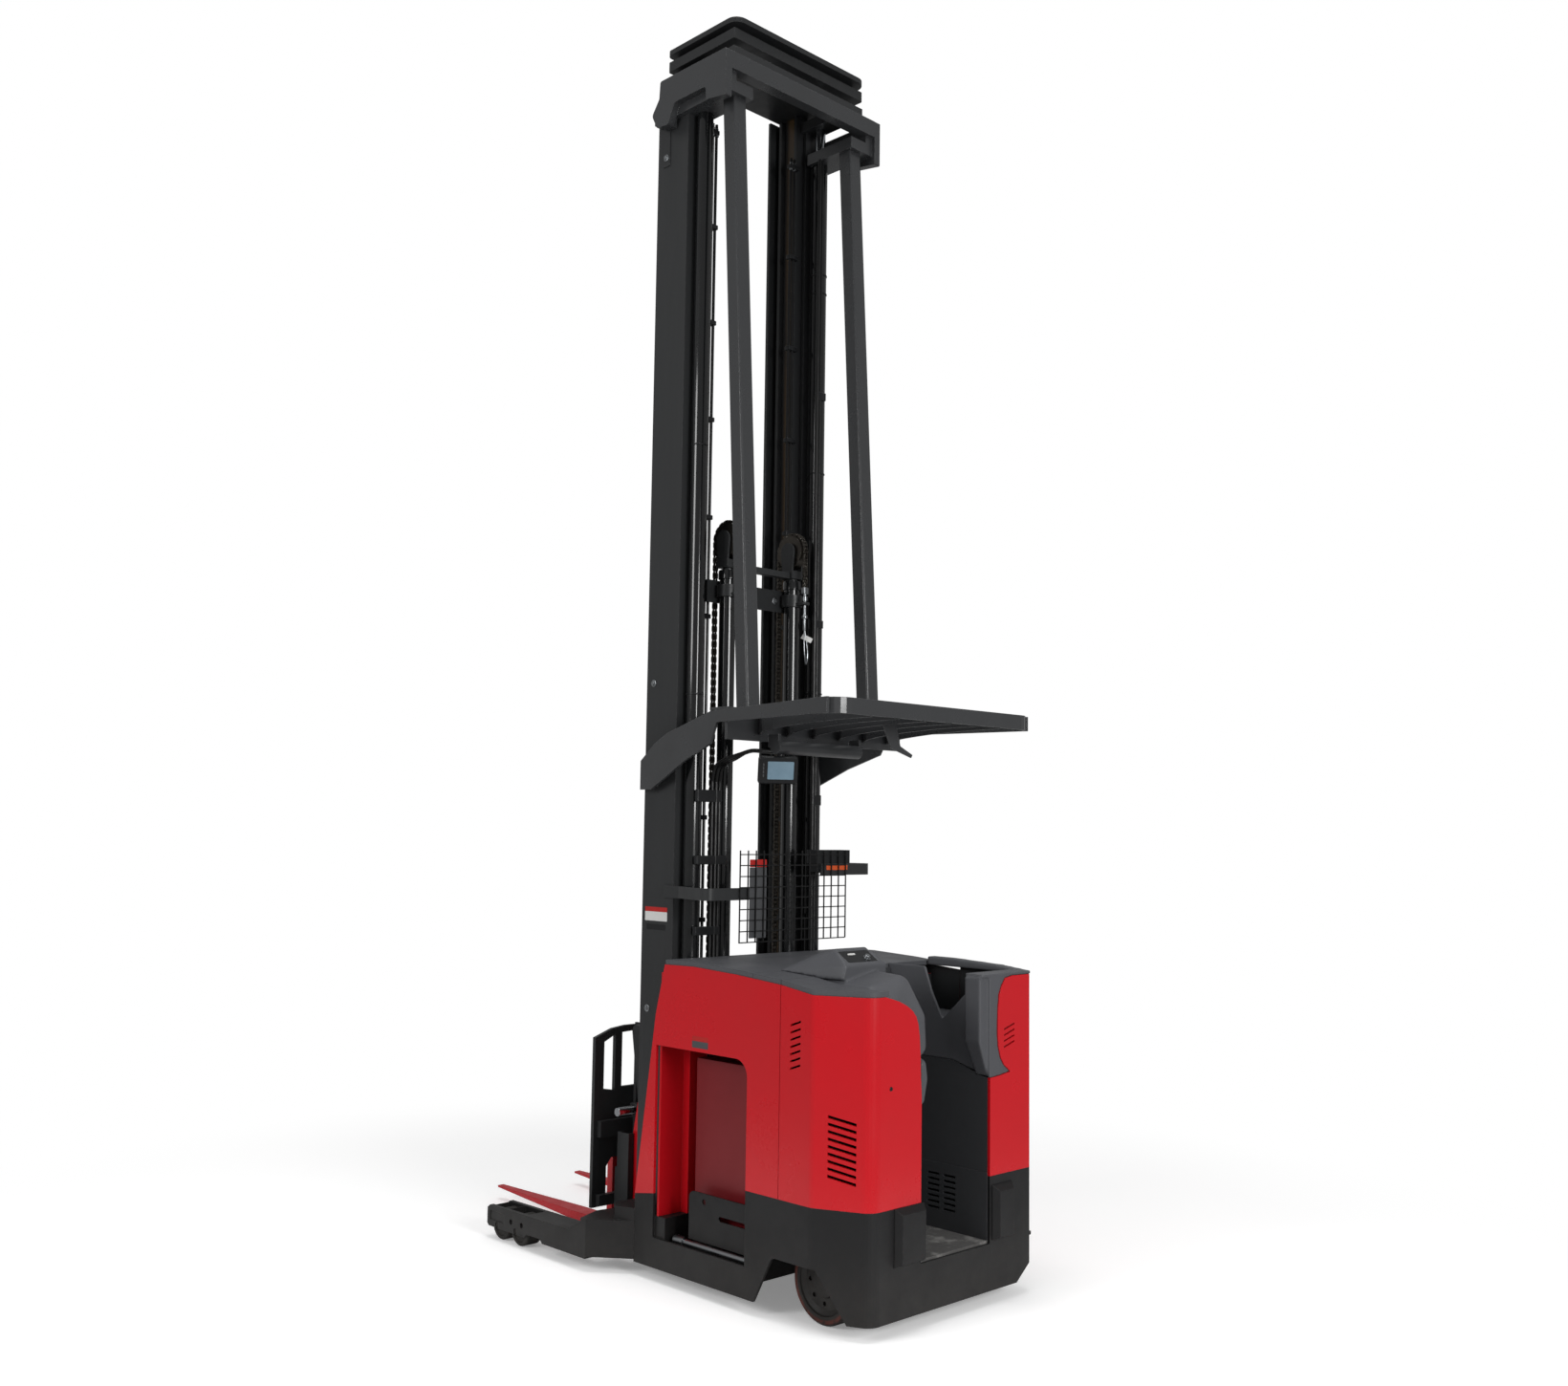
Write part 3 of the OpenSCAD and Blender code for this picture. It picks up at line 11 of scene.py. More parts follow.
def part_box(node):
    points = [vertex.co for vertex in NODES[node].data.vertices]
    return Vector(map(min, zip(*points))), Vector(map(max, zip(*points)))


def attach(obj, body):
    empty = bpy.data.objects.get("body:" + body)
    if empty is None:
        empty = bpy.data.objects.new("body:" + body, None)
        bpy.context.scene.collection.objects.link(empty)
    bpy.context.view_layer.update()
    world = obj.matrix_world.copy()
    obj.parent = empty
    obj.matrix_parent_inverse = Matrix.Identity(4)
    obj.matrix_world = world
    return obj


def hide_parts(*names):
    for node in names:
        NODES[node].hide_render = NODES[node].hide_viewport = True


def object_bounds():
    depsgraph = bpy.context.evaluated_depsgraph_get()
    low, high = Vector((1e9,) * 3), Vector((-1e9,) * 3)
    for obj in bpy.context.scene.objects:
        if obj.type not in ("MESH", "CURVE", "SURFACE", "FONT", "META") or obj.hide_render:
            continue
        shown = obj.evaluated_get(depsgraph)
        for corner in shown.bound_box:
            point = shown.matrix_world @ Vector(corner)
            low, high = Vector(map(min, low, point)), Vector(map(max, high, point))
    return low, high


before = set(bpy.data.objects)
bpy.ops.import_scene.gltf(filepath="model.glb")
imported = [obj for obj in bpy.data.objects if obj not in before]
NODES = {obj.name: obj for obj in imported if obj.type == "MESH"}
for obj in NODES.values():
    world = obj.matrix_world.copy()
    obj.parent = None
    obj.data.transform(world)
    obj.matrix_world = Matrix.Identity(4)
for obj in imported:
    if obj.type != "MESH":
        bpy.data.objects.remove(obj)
cad_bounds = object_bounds()
MM = 0.001

# Camera, fitted to the photograph. The place is given from the truck's rear face and middle.
IMAGE_W = 1640
IMAGE_H = 1450
FOCAL_PX = 1572.99
CENTRE_PX = (812.64, 734.42)
YAW = math.radians(-44.045)
PITCH = math.radians(4.911)
ROLL = math.radians(0.831)
BUMPER_DEPTH = 0.032
REAR_FACE_X = cad_bounds[0][0] + BUMPER_DEPTH
EYE = Vector((REAR_FACE_X - 4.2, 5.135, 2.054))
SENSOR_MM = 36.0


def add_camera():
    """Camera that looks along yaw and pitch, turned by roll about its own axis."""
    look = Vector((math.cos(YAW) * math.cos(PITCH), math.sin(YAW) * math.cos(PITCH), math.sin(PITCH)))
    right = look.cross(Vector((0, 0, 1))).normalized()
    up = right.cross(look)
    turned_right = right * math.cos(ROLL) + up * math.sin(ROLL)
    turned_up = up * math.cos(ROLL) - right * math.sin(ROLL)
    data = bpy.data.cameras.new("camera")
    data.sensor_width = SENSOR_MM
    data.lens = FOCAL_PX * SENSOR_MM / IMAGE_W
    data.shift_x = (IMAGE_W / 2 - CENTRE_PX[0]) / IMAGE_W
    data.shift_y = (CENTRE_PX[1] - IMAGE_H / 2) / IMAGE_W
    camera = bpy.data.objects.new("camera", data)
    bpy.context.scene.collection.objects.link(camera)
    turn = Matrix((turned_right, turned_up, -look)).transposed()
    camera.matrix_world = Matrix.Translation(EYE) @ turn.to_4x4()
    bpy.context.scene.camera = camera


def linear(hex_colour):
    """Linear RGBA of an sRGB hex colour."""
    parts = [int(hex_colour[i:i + 2], 16) / 255 for i in (1, 3, 5)]
    return [p / 12.92 if p <= 0.04045 else ((p + 0.055) / 1.055) ** 2.4 for p in parts] + [1.0]


def add(tree, kind, inputs=None, **settings):
    """Adds one node with its settings, and sets or links its inputs."""
    node = tree.nodes.new(kind)
    for name, value in settings.items():
        setattr(node, name, value)
    for name, value in (inputs or {}).items():
        if isinstance(value, bpy.types.NodeSocket):
            tree.links.new(value, node.inputs[name])
        else:
            node.inputs[name].default_value = value
    return node


def step(tree, value, start, end):
    """Smooth step of value from 0 at start to 1 at end."""
    return add(tree, "ShaderNodeMapRange", {"Value": value, "From Min": start, "From Max": end},
               interpolation_type="SMOOTHSTEP").outputs["Result"]


def times(tree, first, *others):
    """Product of several values."""
    for other in others:
        first = add(tree, "ShaderNodeMath", {0: first, 1: other}, operation="MULTIPLY").outputs[0]
    return first


def noise(tree, place, size_mm, detail=4.0, stretch=(1, 1, 1)):
    """Noise from 0 to 1 with features of the given size, drawn out where stretch is below 1."""
    spread = add(tree, "ShaderNodeMapping", {"Vector": place, "Scale": stretch}).outputs["Vector"]
    return add(tree, "ShaderNodeTexNoise", {"Vector": spread, "Scale": 1000 / size_mm, "Detail": detail,
                                            "Roughness": 0.6}).outputs["Fac"]


def mixed(tree, share, under, over):
    """Colour that goes from under to over as share goes from 0 to 1."""
    return add(tree, "ShaderNodeMix", {0: share, 6: under, 7: over}, data_type="RGBA").outputs[2]


def coated(name, colour, shade, rough, grain_mm, relief_mm, patch_mm=350, coat=0.0, metallic=0.0,
           streaks=1.0, rough_swing=0.08, specular=0.28, edge_mm=2.0, worn="#77787a", wear=0.3,
           dust=0.0, stain=None):
    """A coat over metal or plastic: two close colours in soft patches, a fine grain in the relief,
    a roughness that follows the patches, edges rounded by edge_mm and rubbed to the worn colour, and
    dust that thickens towards the floor. streaks below 1 draws the patches out upwards. stain is a
    colour and a function of the tree and the place that gives its share."""
    material = bpy.data.materials.new(name)
    material.use_nodes = True
    tree = material.node_tree
    tree.nodes.clear()
    place = add(tree, "ShaderNodeTexCoord").outputs["Object"]
    patches = noise(tree, place, patch_mm, 6.0, (1, 1, streaks))
    tone = mixed(tree, patches, linear(colour), linear(shade))
    if stain:
        tone = mixed(tree, stain[1](tree, place), tone, linear(stain[0]))
    round_edge = add(tree, "ShaderNodeBevel", {"Radius": edge_mm * MM}, samples=4).outputs["Normal"]
    face = add(tree, "ShaderNodeNewGeometry").outputs["Normal"]
    facing = add(tree, "ShaderNodeVectorMath", {0: round_edge, 1: face},
                 operation="DOT_PRODUCT").outputs["Value"]
    scuffs = step(tree, noise(tree, place, 24, 5.0), 0.42, 0.62)
    rubbed = times(tree, step(tree, facing, 0.985, 0.86), scuffs, wear)
    tone = mixed(tree, rubbed, tone, linear(worn))
    if dust:
        height = add(tree, "ShaderNodeSeparateXYZ", {"Vector": place}).outputs["Z"]
        settled = times(tree, step(tree, height, 0.45, 0.02), noise(tree, place, 60, 5.0), dust)
        tone = mixed(tree, settled, tone, linear("#6b645b"))
    grain = noise(tree, place, grain_mm, 3.0)
    relief = add(tree, "ShaderNodeBump", {"Height": grain, "Strength": 0.6, "Distance": relief_mm * MM,
                                          "Normal": round_edge}).outputs["Normal"]
    gloss = add(tree, "ShaderNodeMapRange", {
        "Value": patches, "From Min": 0.3, "From Max": 0.7,
        "To Min": rough - rough_swing, "To Max": rough + rough_swing}).outputs["Result"]
    skin = add(tree, "ShaderNodeBsdfPrincipled", {
        "Base Color": tone, "Roughness": gloss, "Metallic": metallic, "Coat Weight": coat,
        "Coat Roughness": 0.08, "Specular IOR Level": specular, "Normal": relief})
    add(tree, "ShaderNodeOutputMaterial", {"Surface": skin.outputs["BSDF"]})
    return material


def axes(tree, place):
    """The three coordinates of place."""
    return add(tree, "ShaderNodeSeparateXYZ", {"Vector": place}).outputs


def inner_side(tree, place):
    """Share of the right covers' inner faces, which are lined in dark grey."""
    x, y, _ = axes(tree, place)
    behind = REAR_FACE_X + 0.0145
    return times(tree, step(tree, y, -0.6055, -0.6045), step(tree, x, behind, behind + 0.001))


def rear_side(tree, place):
    """Share of the bay wall's rear face, which is lined in dark grey towards the operator."""
    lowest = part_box("bay_wall")[0][0]
    return step(tree, axes(tree, place)["X"], lowest + 0.001, lowest + 0.0005)


def grease_run(tree, place):
    """Share of grease wiped along the middle of the rail's web by the carriage rollers."""
    x, y, _ = axes(tree, place)
    side = add(tree, "ShaderNodeMath", {0: y}, operation="ABSOLUTE").outputs[0]
    across = times(tree, step(tree, x, -0.112, -0.078), step(tree, x, -0.018, -0.052))
    return times(tree, across, step(tree, side, 0.352, 0.349), step(tree, side, 0.33, 0.34),
                 step(tree, noise(tree, place, 60, 5.0, (1, 1, 0.15)), 0.25, 0.6), 0.7)


def tread_band(tree, place):
    """Share of the red-brown band where the tread meets the hub, round the drive wheel's axle."""
    low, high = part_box("drive_wheel")
    middle = [(a + b) / 2 for a, b in zip(low, high)]
    x, _, z = axes(tree, place)
    flat = add(tree, "ShaderNodeCombineXYZ", {"X": x, "Z": z}).outputs["Vector"]
    reach = add(tree, "ShaderNodeVectorMath", {0: flat, 1: (middle[0], 0, middle[2])},
                operation="DISTANCE").outputs["Value"]
    return times(tree, step(tree, reach, 0.142, 0.152), step(tree, reach, 0.168, 0.158),
                 step(tree, noise(tree, place, 30), 0.3, 0.55), 0.55)


def trodden(tree, place):
    """Share of the pale scuffs that boots leave on the mat."""
    return times(tree, step(tree, noise(tree, place, 90, 7.0), 0.5, 0.68), 0.6)


# Sprayed two-pack enamel on steel sheet: deep red, glossy, with a faint orange peel
PANEL_RED = coated("sprayed_red_enamel", "#c2101c", "#b40d17", 0.3, 9, 0.01, coat=0.12, worn="#8d1a20")
# The same sheet lined with dark grey foam board on its inner face
LINED_RED = coated("lined_red_enamel", "#c2101c", "#b40d17", 0.3, 9, 0.01, coat=0.12, worn="#8d1a20",
                   stain=("#242526", inner_side))
# The battery compartment's walls, red inside and dark grey towards the operator
BAY_RED = coated("battery_bay_red_enamel", "#bd101b", "#ab0d16", 0.34, 9, 0.01, worn="#8d1a20",
                 stain=("#242526", rear_side))
# The same enamel on forged forks, dulled by pallets
FORK_RED = coated("forged_fork_red_enamel", "#bb1a24", "#9c141b", 0.42, 5, 0.08, patch_mm=90,
                  worn="#5f5a58", wear=0.6, edge_mm=4)
# Red enamel on the battery's steel tray, painted dark red: painted shade of the recessed battery bay
BATTERY_RED_PAINTED_SHADE = coated("battery_tray_red_painted_shade", "#7c1a20", "#671519", 0.45, 6, 0.05, worn="#4a1014")
# Black powder coat on the chassis, with a fine stipple and floor dust
CHASSIS_BLACK = coated("stippled_black_powder_coat", "#171718", "#111112", 0.5, 3, 0.25, patch_mm=180,
                       worn="#4c4b4a", wear=0.5, dust=0.1, edge_mm=4)
# Charcoal enamel rolled on the mast's steel sections, streaked along the rails
MAST_CHARCOAL = coated("rolled_charcoal_enamel", "#303132", "#242526", 0.42, 6, 0.08, patch_mm=120,
                       streaks=0.12, worn="#6a6b6c", wear=0.5)
# The same enamel with roller grease along the inner rails' webs
GREASED_CHARCOAL = coated("greased_charcoal_enamel", "#2a2b2c", "#1e1f20", 0.38, 6, 0.08, patch_mm=90,
                          streaks=0.12, worn="#6a6b6c", wear=0.5, stain=("#5b4526", grease_run))
# Charcoal enamel of the guard and head, lighter where light falls flat on it
GUARD_CHARCOAL = coated("sprayed_charcoal_enamel", "#37383a", "#2b2c2d", 0.3, 4, 0.04, patch_mm=200,
                        worn="#8a8b8c", wear=0.5, edge_mm=3, specular=0.5)
# Injection-moulded ABS covers with a leather grain
COVER_GREY = coated("grained_grey_abs", "#515256", "#47484b", 0.5, 2.4, 0.35, patch_mm=260,
                    worn="#5a5b5e", edge_mm=5)
# Gloss black enamel on drawn steel cylinder tubes
CYLINDER_BLACK = coated("gloss_black_cylinder_enamel", "#141516", "#0f1011", 0.16, 40, 0.004, coat=0.5)
# Ground and hard-chromed rods
ROD_CHROME = coated("ground_hard_chrome", "#b9bcc0", "#a9acb0", 0.16, 40, 0.003, metallic=1.0,
                    rough_swing=0.04)
# Oiled roller chain and turned sheaves
OILED_STEEL = coated("oiled_chain_steel", "#56524c", "#2e2a27", 0.32, 4, 0.1, metallic=0.9, patch_mm=40,
                     edge_mm=0.6, worn="#b0aca4", wear=0.8)
# Zinc-plated rollers, bolts and clamps
ZINC = coated("bright_zinc_plate", "#9a9da0", "#7f8284", 0.33, 8, 0.03, metallic=1.0, patch_mm=60,
              edge_mm=0.8)
# Turned brass unions
BRASS = coated("turned_brass", "#c09a4a", "#a5803a", 0.28, 4, 0.02, metallic=1.0, patch_mm=20, edge_mm=0.8)
# Pressed-on rubber treads, scuffed where they run
TREAD_BLACK = coated("moulded_black_rubber", "#1e1d1c", "#141313", 0.62, 3, 0.3, patch_mm=50, dust=0.15,
                     worn="#4a4643", wear=0.6, edge_mm=4)
# The drive wheel's tread, stained red-brown where it meets its hub
DRIVE_TREAD = coated("bonded_drive_tread", "#1e1d1c", "#141313", 0.55, 3, 0.3, patch_mm=50, dust=0.12,
                     worn="#4a4643", wear=0.6, edge_mm=4, stain=("#6b2a1d", tread_band))
# Textured plastic lining of the operator's compartment
LINING_GREY = coated("textured_charcoal_abs", "#3c3d3f", "#313234", 0.5, 2.4, 0.3, patch_mm=220, edge_mm=1.5)
# Moulded vinyl mat with dust trodden in
MAT_BLACK = coated("dusty_vinyl_mat", "#5a5958", "#434241", 0.65, 6, 0.8, patch_mm=60,
                   stain=("#8f8e8b", trodden))
# Extruded rubber of hoses and cable sheaths
HOSE_BLACK = coated("extruded_hose_rubber", "#121212", "#0d0d0e", 0.36, 5, 0.02, patch_mm=60, edge_mm=0.5)
# Welded wire, dipped in black vinyl
WIRE_BLACK = coated("vinyl_dipped_wire", "#151516", "#0f0f10", 0.4, 4, 0.05, edge_mm=0.5)
# Moulded housing of the display
SCREEN_BLACK = coated("moulded_black_polycarbonate", "#1b1c1e", "#131415", 0.35, 2, 0.1, edge_mm=2)
# Switched-off glass of the display, pale where the sky shows in it
SCREEN_GLASS = coated("display_glass", "#7f97a6", "#5f7786", 0.12, 40, 0.01, coat=0.3, patch_mm=90,
                      edge_mm=0.5)
# Blank printed aluminium plates: grey, white and the red band across their tops
PLATE_GREY = coated("grey_printed_aluminium", "#4c4d4f", "#424345", 0.4, 6, 0.02, patch_mm=80, edge_mm=0.5)
PLATE_WHITE = coated("white_printed_vinyl", "#d4d4d2", "#c4c4c2", 0.45, 6, 0.02, patch_mm=80, edge_mm=0.5)
PLATE_RED = coated("red_printed_vinyl", "#b3231f", "#9f1e1b", 0.45, 6, 0.02, patch_mm=80, edge_mm=0.5)
# Orange reflector strip on the mast's junction box
STRIP_ORANGE = coated("orange_reflector_strip", "#d1582a", "#b94a22", 0.3, 3, 0.1, patch_mm=30, edge_mm=0.5)

FINISHES = {
    PANEL_RED: ["side_panel_left", "drive_cover", "reach_arms_outer"],
    LINED_RED: ["side_panel_right", "rear_pillar"],
    BAY_RED: ["bay_wall"],
    LINING_GREY: ["operator_walls"],
    FORK_RED: ["forks"],
    BATTERY_RED_PAINTED_SHADE: ["battery"],
    CHASSIS_BLACK: ["frame_base", "bumper_posts", "battery_gate", "base_leg_left",
                    "base_leg_right", "caster_fork", "drive_unit"],
    MAST_CHARCOAL: ["outer_mast", "middle_mast", "crosshead", "mast_carriage", "reach_arms_inner",
                    "reach_frame", "fork_carriage", "load_backrest", "mesh_brackets"],
    GREASED_CHARCOAL: ["inner_mast"],
    GUARD_CHARCOAL: ["mast_head", "overhead_guard", "guard_slats", "guard_braces", "work_light"],
    COVER_GREY: ["top_cover", "console", "side_rim"],
    CYLINDER_BLACK: ["lift_cylinders", "free_lift_cylinders"],
    ROD_CHROME: ["lift_rods"],
    OILED_STEEL: ["sheaves", "lift_chains"],
    ZINC: ["battery_rollers"],
    TREAD_BLACK: ["caster_wheels", "load_wheel_lf", "load_wheel_lr", "load_wheel_rf", "load_wheel_rr"],
    DRIVE_TREAD: ["drive_wheel"],
    MAT_BLACK: ["floor_mat"],
    WIRE_BLACK: ["mesh_screen"],
    SCREEN_BLACK: ["display", "mast_box"],
}


def dress_nodes():
    """Gives every CAD node the finish listed for it."""
    for material, names in FINISHES.items():
        for name in names:
            mesh = NODES[name].data
            mesh.materials.clear()
            mesh.materials.append(material)


# Shapes are pairs of points in mm, x from the truck's rear face, and a list of index arrays.

def skin(rings, closed=False):
    """Skin over rings of equal count: quads between each ring and the next, with flat ends, or with
    the last ring joined to the first where closed."""
    rows, count, _ = rings.shape
    start = np.arange(rows if closed else rows - 1)[:, None] * count
    here = np.arange(count)[None, :]
    there = (here + 1) % count
    above = (start + count) % (rows * count)
    quads = np.stack([start + here, start + there, above + there, above + here], -1).reshape(-1, 4)
    faces = [quads]
    if not closed:
        faces += [np.arange(count)[None, ::-1], np.arange(count)[None, :] + (rows - 1) * count]
    return rings.reshape(-1, 3), faces


def outline(width, depth, radius, steps=4):
    """Rectangle with round corners: each corner's centre plus radius times cosine and sine."""
    turn = np.linspace(0, np.pi / 2, steps)[None, :] + np.arange(4)[:, None] * np.pi / 2
    ways = np.array([[1, 1], [-1, 1], [-1, -1], [1, -1]])
    middle = ways * [width / 2 - radius, depth / 2 - radius]
    ring = middle[:, None, :] + radius * np.stack([np.cos(turn), np.sin(turn)], -1)
    return ring.reshape(-1, 2)


def slab(width, depth, height, radius, edge, steps=4):
    """Plate from z 0 to height with round corners, whose faces are set in by edge."""
    levels = ((edge, 0), (0, edge), (0, height - edge), (edge, height))
    rings = [np.column_stack([outline(width - 2 * inset, depth - 2 * inset, max(radius - inset, 0.2), steps),
                              np.full(4 * steps, z)]) for inset, z in levels]
    return skin(np.stack(rings))


def turned(profile, sides=24):
    """Profile of radius and height turned about z: radius times cosine and sine of the angle."""
    radius, height = np.array(profile, float).T
    angle = np.arange(sides) * 2 * np.pi / sides
    rings = np.stack([radius[:, None] * np.cos(angle), radius[:, None] * np.sin(angle),
                      np.repeat(height[:, None], sides, 1)], -1)
    return skin(rings)


def smooth_line(points, per_span=6):
    """Line through all points, each span a cubic with the slope of its neighbours' chord."""
    p = np.array(points, float)
    p = np.vstack([2 * p[0] - p[1], p, 2 * p[-1] - p[-2]])
    a, b, c, d = p[:-3, None], p[1:-2, None], p[2:-1, None], p[3:, None]
    t = np.linspace(0, 1, per_span, endpoint=False)[None, :, None]
    curve = 0.5 * (2 * b + (c - a) * t + (2 * a - 5 * b + 4 * c - d) * t ** 2
                   + (3 * b - a - 3 * c + d) * t ** 3)
    return np.vstack([curve.reshape(-1, 3), p[-2]])


def swept(line, radius, sides=10):
    """Round tube along a line: each ring stands across the line's direction."""
    line = np.array(line, float)
    ahead = np.gradient(line, axis=0)
    ahead /= np.linalg.norm(ahead, axis=1, keepdims=True)
    side = np.cross(ahead, (0.11, 0.97, 0.21))
    side /= np.linalg.norm(side, axis=1, keepdims=True)
    other = np.cross(ahead, side)
    angle = np.arange(sides) * 2 * np.pi / sides
    rings = line[:, None] + radius * (np.cos(angle)[None, :, None] * side[:, None]
                                      + np.sin(angle)[None, :, None] * other[:, None])
    return skin(rings)


def joined(*shapes):
    """Several shapes as one, with their indices counted on."""
    counts = np.cumsum([0] + [len(points) for points, _ in shapes])
    faces = [group + count for (_, groups), count in zip(shapes, counts) for group in groups]
    return np.vstack([points for points, _ in shapes]), faces


def repeated(shape, places, turns=None):
    """Copies of a shape, each turned by its matrix and moved to its place."""
    points, groups = shape
    places = np.array(places, float)
    turned_points = np.repeat(points[None], len(places), 0) if turns is None else points @ np.swapaxes(turns, 1, 2)
    counts = np.arange(len(places))[:, None, None] * len(points)
    faces = [(group[None] + counts).reshape(-1, group.shape[1]) for group in groups]
    return (turned_points + places[:, None]).reshape(-1, 3), faces


def seated(shape, place, up=(0, 0, 1), along=(1, 0, 0)):
    """Shape turned so that its z points up and its x lies along, and moved to its place."""
    z = np.array(up, float) / np.linalg.norm(up)
    x = np.array(along, float) - z * np.dot(along, z)
    x = np.array([0.0, 1.0, 0.0]) if np.linalg.norm(x) < 0.001 else x / np.linalg.norm(x)
    points, faces = shape
    return points @ np.stack([x, np.cross(z, x), z]) + np.array(place, float), faces


def both_sides(shape):
    """A shape and its mirror image on the truck's right."""
    points, faces = shape
    return joined(shape, (points * [1, -1, 1], [group[:, ::-1] for group in faces]))


def make_piece(name, shape, material, body, sharp=35):
    """Object made of a shape, shaded smooth but for edges sharper than sharp, riding on a body."""
    points, faces = shape
    points = points * MM + [REAR_FACE_X, 0, 0]
    mesh = bpy.data.meshes.new(name)
    mesh.from_pydata(points.tolist(), [], [face for group in faces for face in group.tolist()])
    work = bmesh.new()
    work.from_mesh(mesh)
    bmesh.ops.recalc_face_normals(work, faces=work.faces)
    work.to_mesh(mesh)
    work.free()
    mesh.polygons.foreach_set("use_smooth", np.ones(len(mesh.polygons), bool))
    mesh.set_sharp_from_angle(angle=math.radians(sharp))
    mesh.materials.append(material)
    piece = bpy.data.objects.new(name, mesh)
    bpy.context.scene.collection.objects.link(piece)
    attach(piece, body)
    return piece


# Moulded covers

VOXEL_MM = 5.0


def add_moulding(name, node, rounds):
    """Copy of a CAD cover with the soft edges of a moulding: its surface is laid out again in even
    small facets and relaxed a few rounds."""
    mould = bpy.data.objects.new(name, NODES[node].data.copy())
    bpy.context.scene.collection.objects.link(mould)
    even = mould.modifiers.new("even_facets", "REMESH")
    even.mode = "VOXEL"
    even.voxel_size = VOXEL_MM * MM
    even.use_smooth_shade = True
    relax = mould.modifiers.new("relax", "SMOOTH")
    relax.iterations = rounds
    settled = mould.evaluated_get(bpy.context.evaluated_depsgraph_get())
    mesh = bpy.data.meshes.new_from_object(settled)
    mould.modifiers.clear()
    mould.data = mesh
    mesh.materials.clear()
    mesh.materials.append(COVER_GREY)
    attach(mould, "chassis")
    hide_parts(node)


def add_covers():
    """Console and right rim with moulded edges, and the console's control panel."""
    add_moulding("console_moulding", "console", 6)
    add_moulding("rim_moulding", "side_rim", 4)
    slope = math.radians(32.6)
    up = (-math.sin(slope), 0, math.cos(slope))
    down_slope = (math.cos(slope), 0, math.sin(slope))
    foot = np.array([288, 0, 1484])

    def on_pod(run, y, lift=0):
        """Point on the pod's face at a run up its slope, raised by lift."""
        return foot + np.array(down_slope) * run + np.array([0, y, 0]) + np.array(up) * lift

    make_piece("control_panel", seated(slab(84, 194, 3, 12, 1), on_pod(58, 229, -6), up, down_slope),
               SCREEN_BLACK, "chassis")
    bar = seated(slab(10, 46, 5, 4, 1.2), on_pod(70, 262, -3), up, down_slope)
    make_piece("panel_bar", bar, PLATE_WHITE, "chassis")
    knob = turned([(17, 0), (17, 3), (13, 4), (12.5, 13), (11, 15), (4, 15.4)])
    make_piece("panel_knob", seated(knob, on_pod(42, 186, -3), up), ZINC, "chassis")


# Chains, hoses and clamps of the mast

SHEAVE_X = 1240
SHEAVE_Y = 222
SHEAVE_Z = 3480
CHAIN_REACH = 93.0
CHAIN_PITCH = 19.05
CHAIN_ANCHOR_Z = 3290
CARRIAGE_ANCHOR_Z = 690


def leaf_chain():
    """Leaf chain over one sheave: up its rear side, half round it and down to the carriage. A link's
    place and direction follow from its distance along that route."""
    rise = SHEAVE_Z - CHAIN_ANCHOR_Z
    bend = math.pi * CHAIN_REACH
    fall = SHEAVE_Z - CARRIAGE_ANCHOR_Z
    run = np.arange(0, rise + bend + fall, CHAIN_PITCH)
    turn = np.clip((run - rise) / CHAIN_REACH, 0, math.pi)
    x = SHEAVE_X - CHAIN_REACH * np.cos(turn)
    z = SHEAVE_Z + CHAIN_REACH * np.sin(turn) - np.clip(rise - run, 0, None) - np.clip(run - rise - bend, 0, None)
    ahead = np.stack([np.sin(turn), np.zeros_like(turn), np.cos(turn)], -1)
    across = np.tile([0.0, 1.0, 0.0], (len(run), 1))
    turns = np.stack([ahead, np.cross(across, ahead), across], -1)
    places = np.stack([x, np.full_like(x, SHEAVE_Y), z], -1)
    plate = slab(CHAIN_PITCH + 13, 14, 3, 6.8, 0.5, 3)
    pin = seated(turned([(4, -15), (4.6, -14.4), (4.6, 14.4), (4, 15)], 8), (CHAIN_PITCH / 2, 0, 0))
    wide = joined(*[seated(plate, (0, 0, at)) for at in (-13, -3.2, 10)], pin)
    narrow = joined(*[seated(plate, (0, 0, at)) for at in (-9.4, 6.4)], pin)
    clevis = seated(slab(16, 28, 44, 4, 1.5), (SHEAVE_X + CHAIN_REACH, SHEAVE_Y, CARRIAGE_ANCHOR_Z - 34))
    return joined(repeated(wide, places[::2], turns[::2]), repeated(narrow, places[1::2], turns[1::2]), clevis)


def clamp_block(width, depth, height):
    """Moulded clamp block with round corners, centred on its foot."""
    return slab(width, depth, height, min(width, depth) * 0.2, 2)


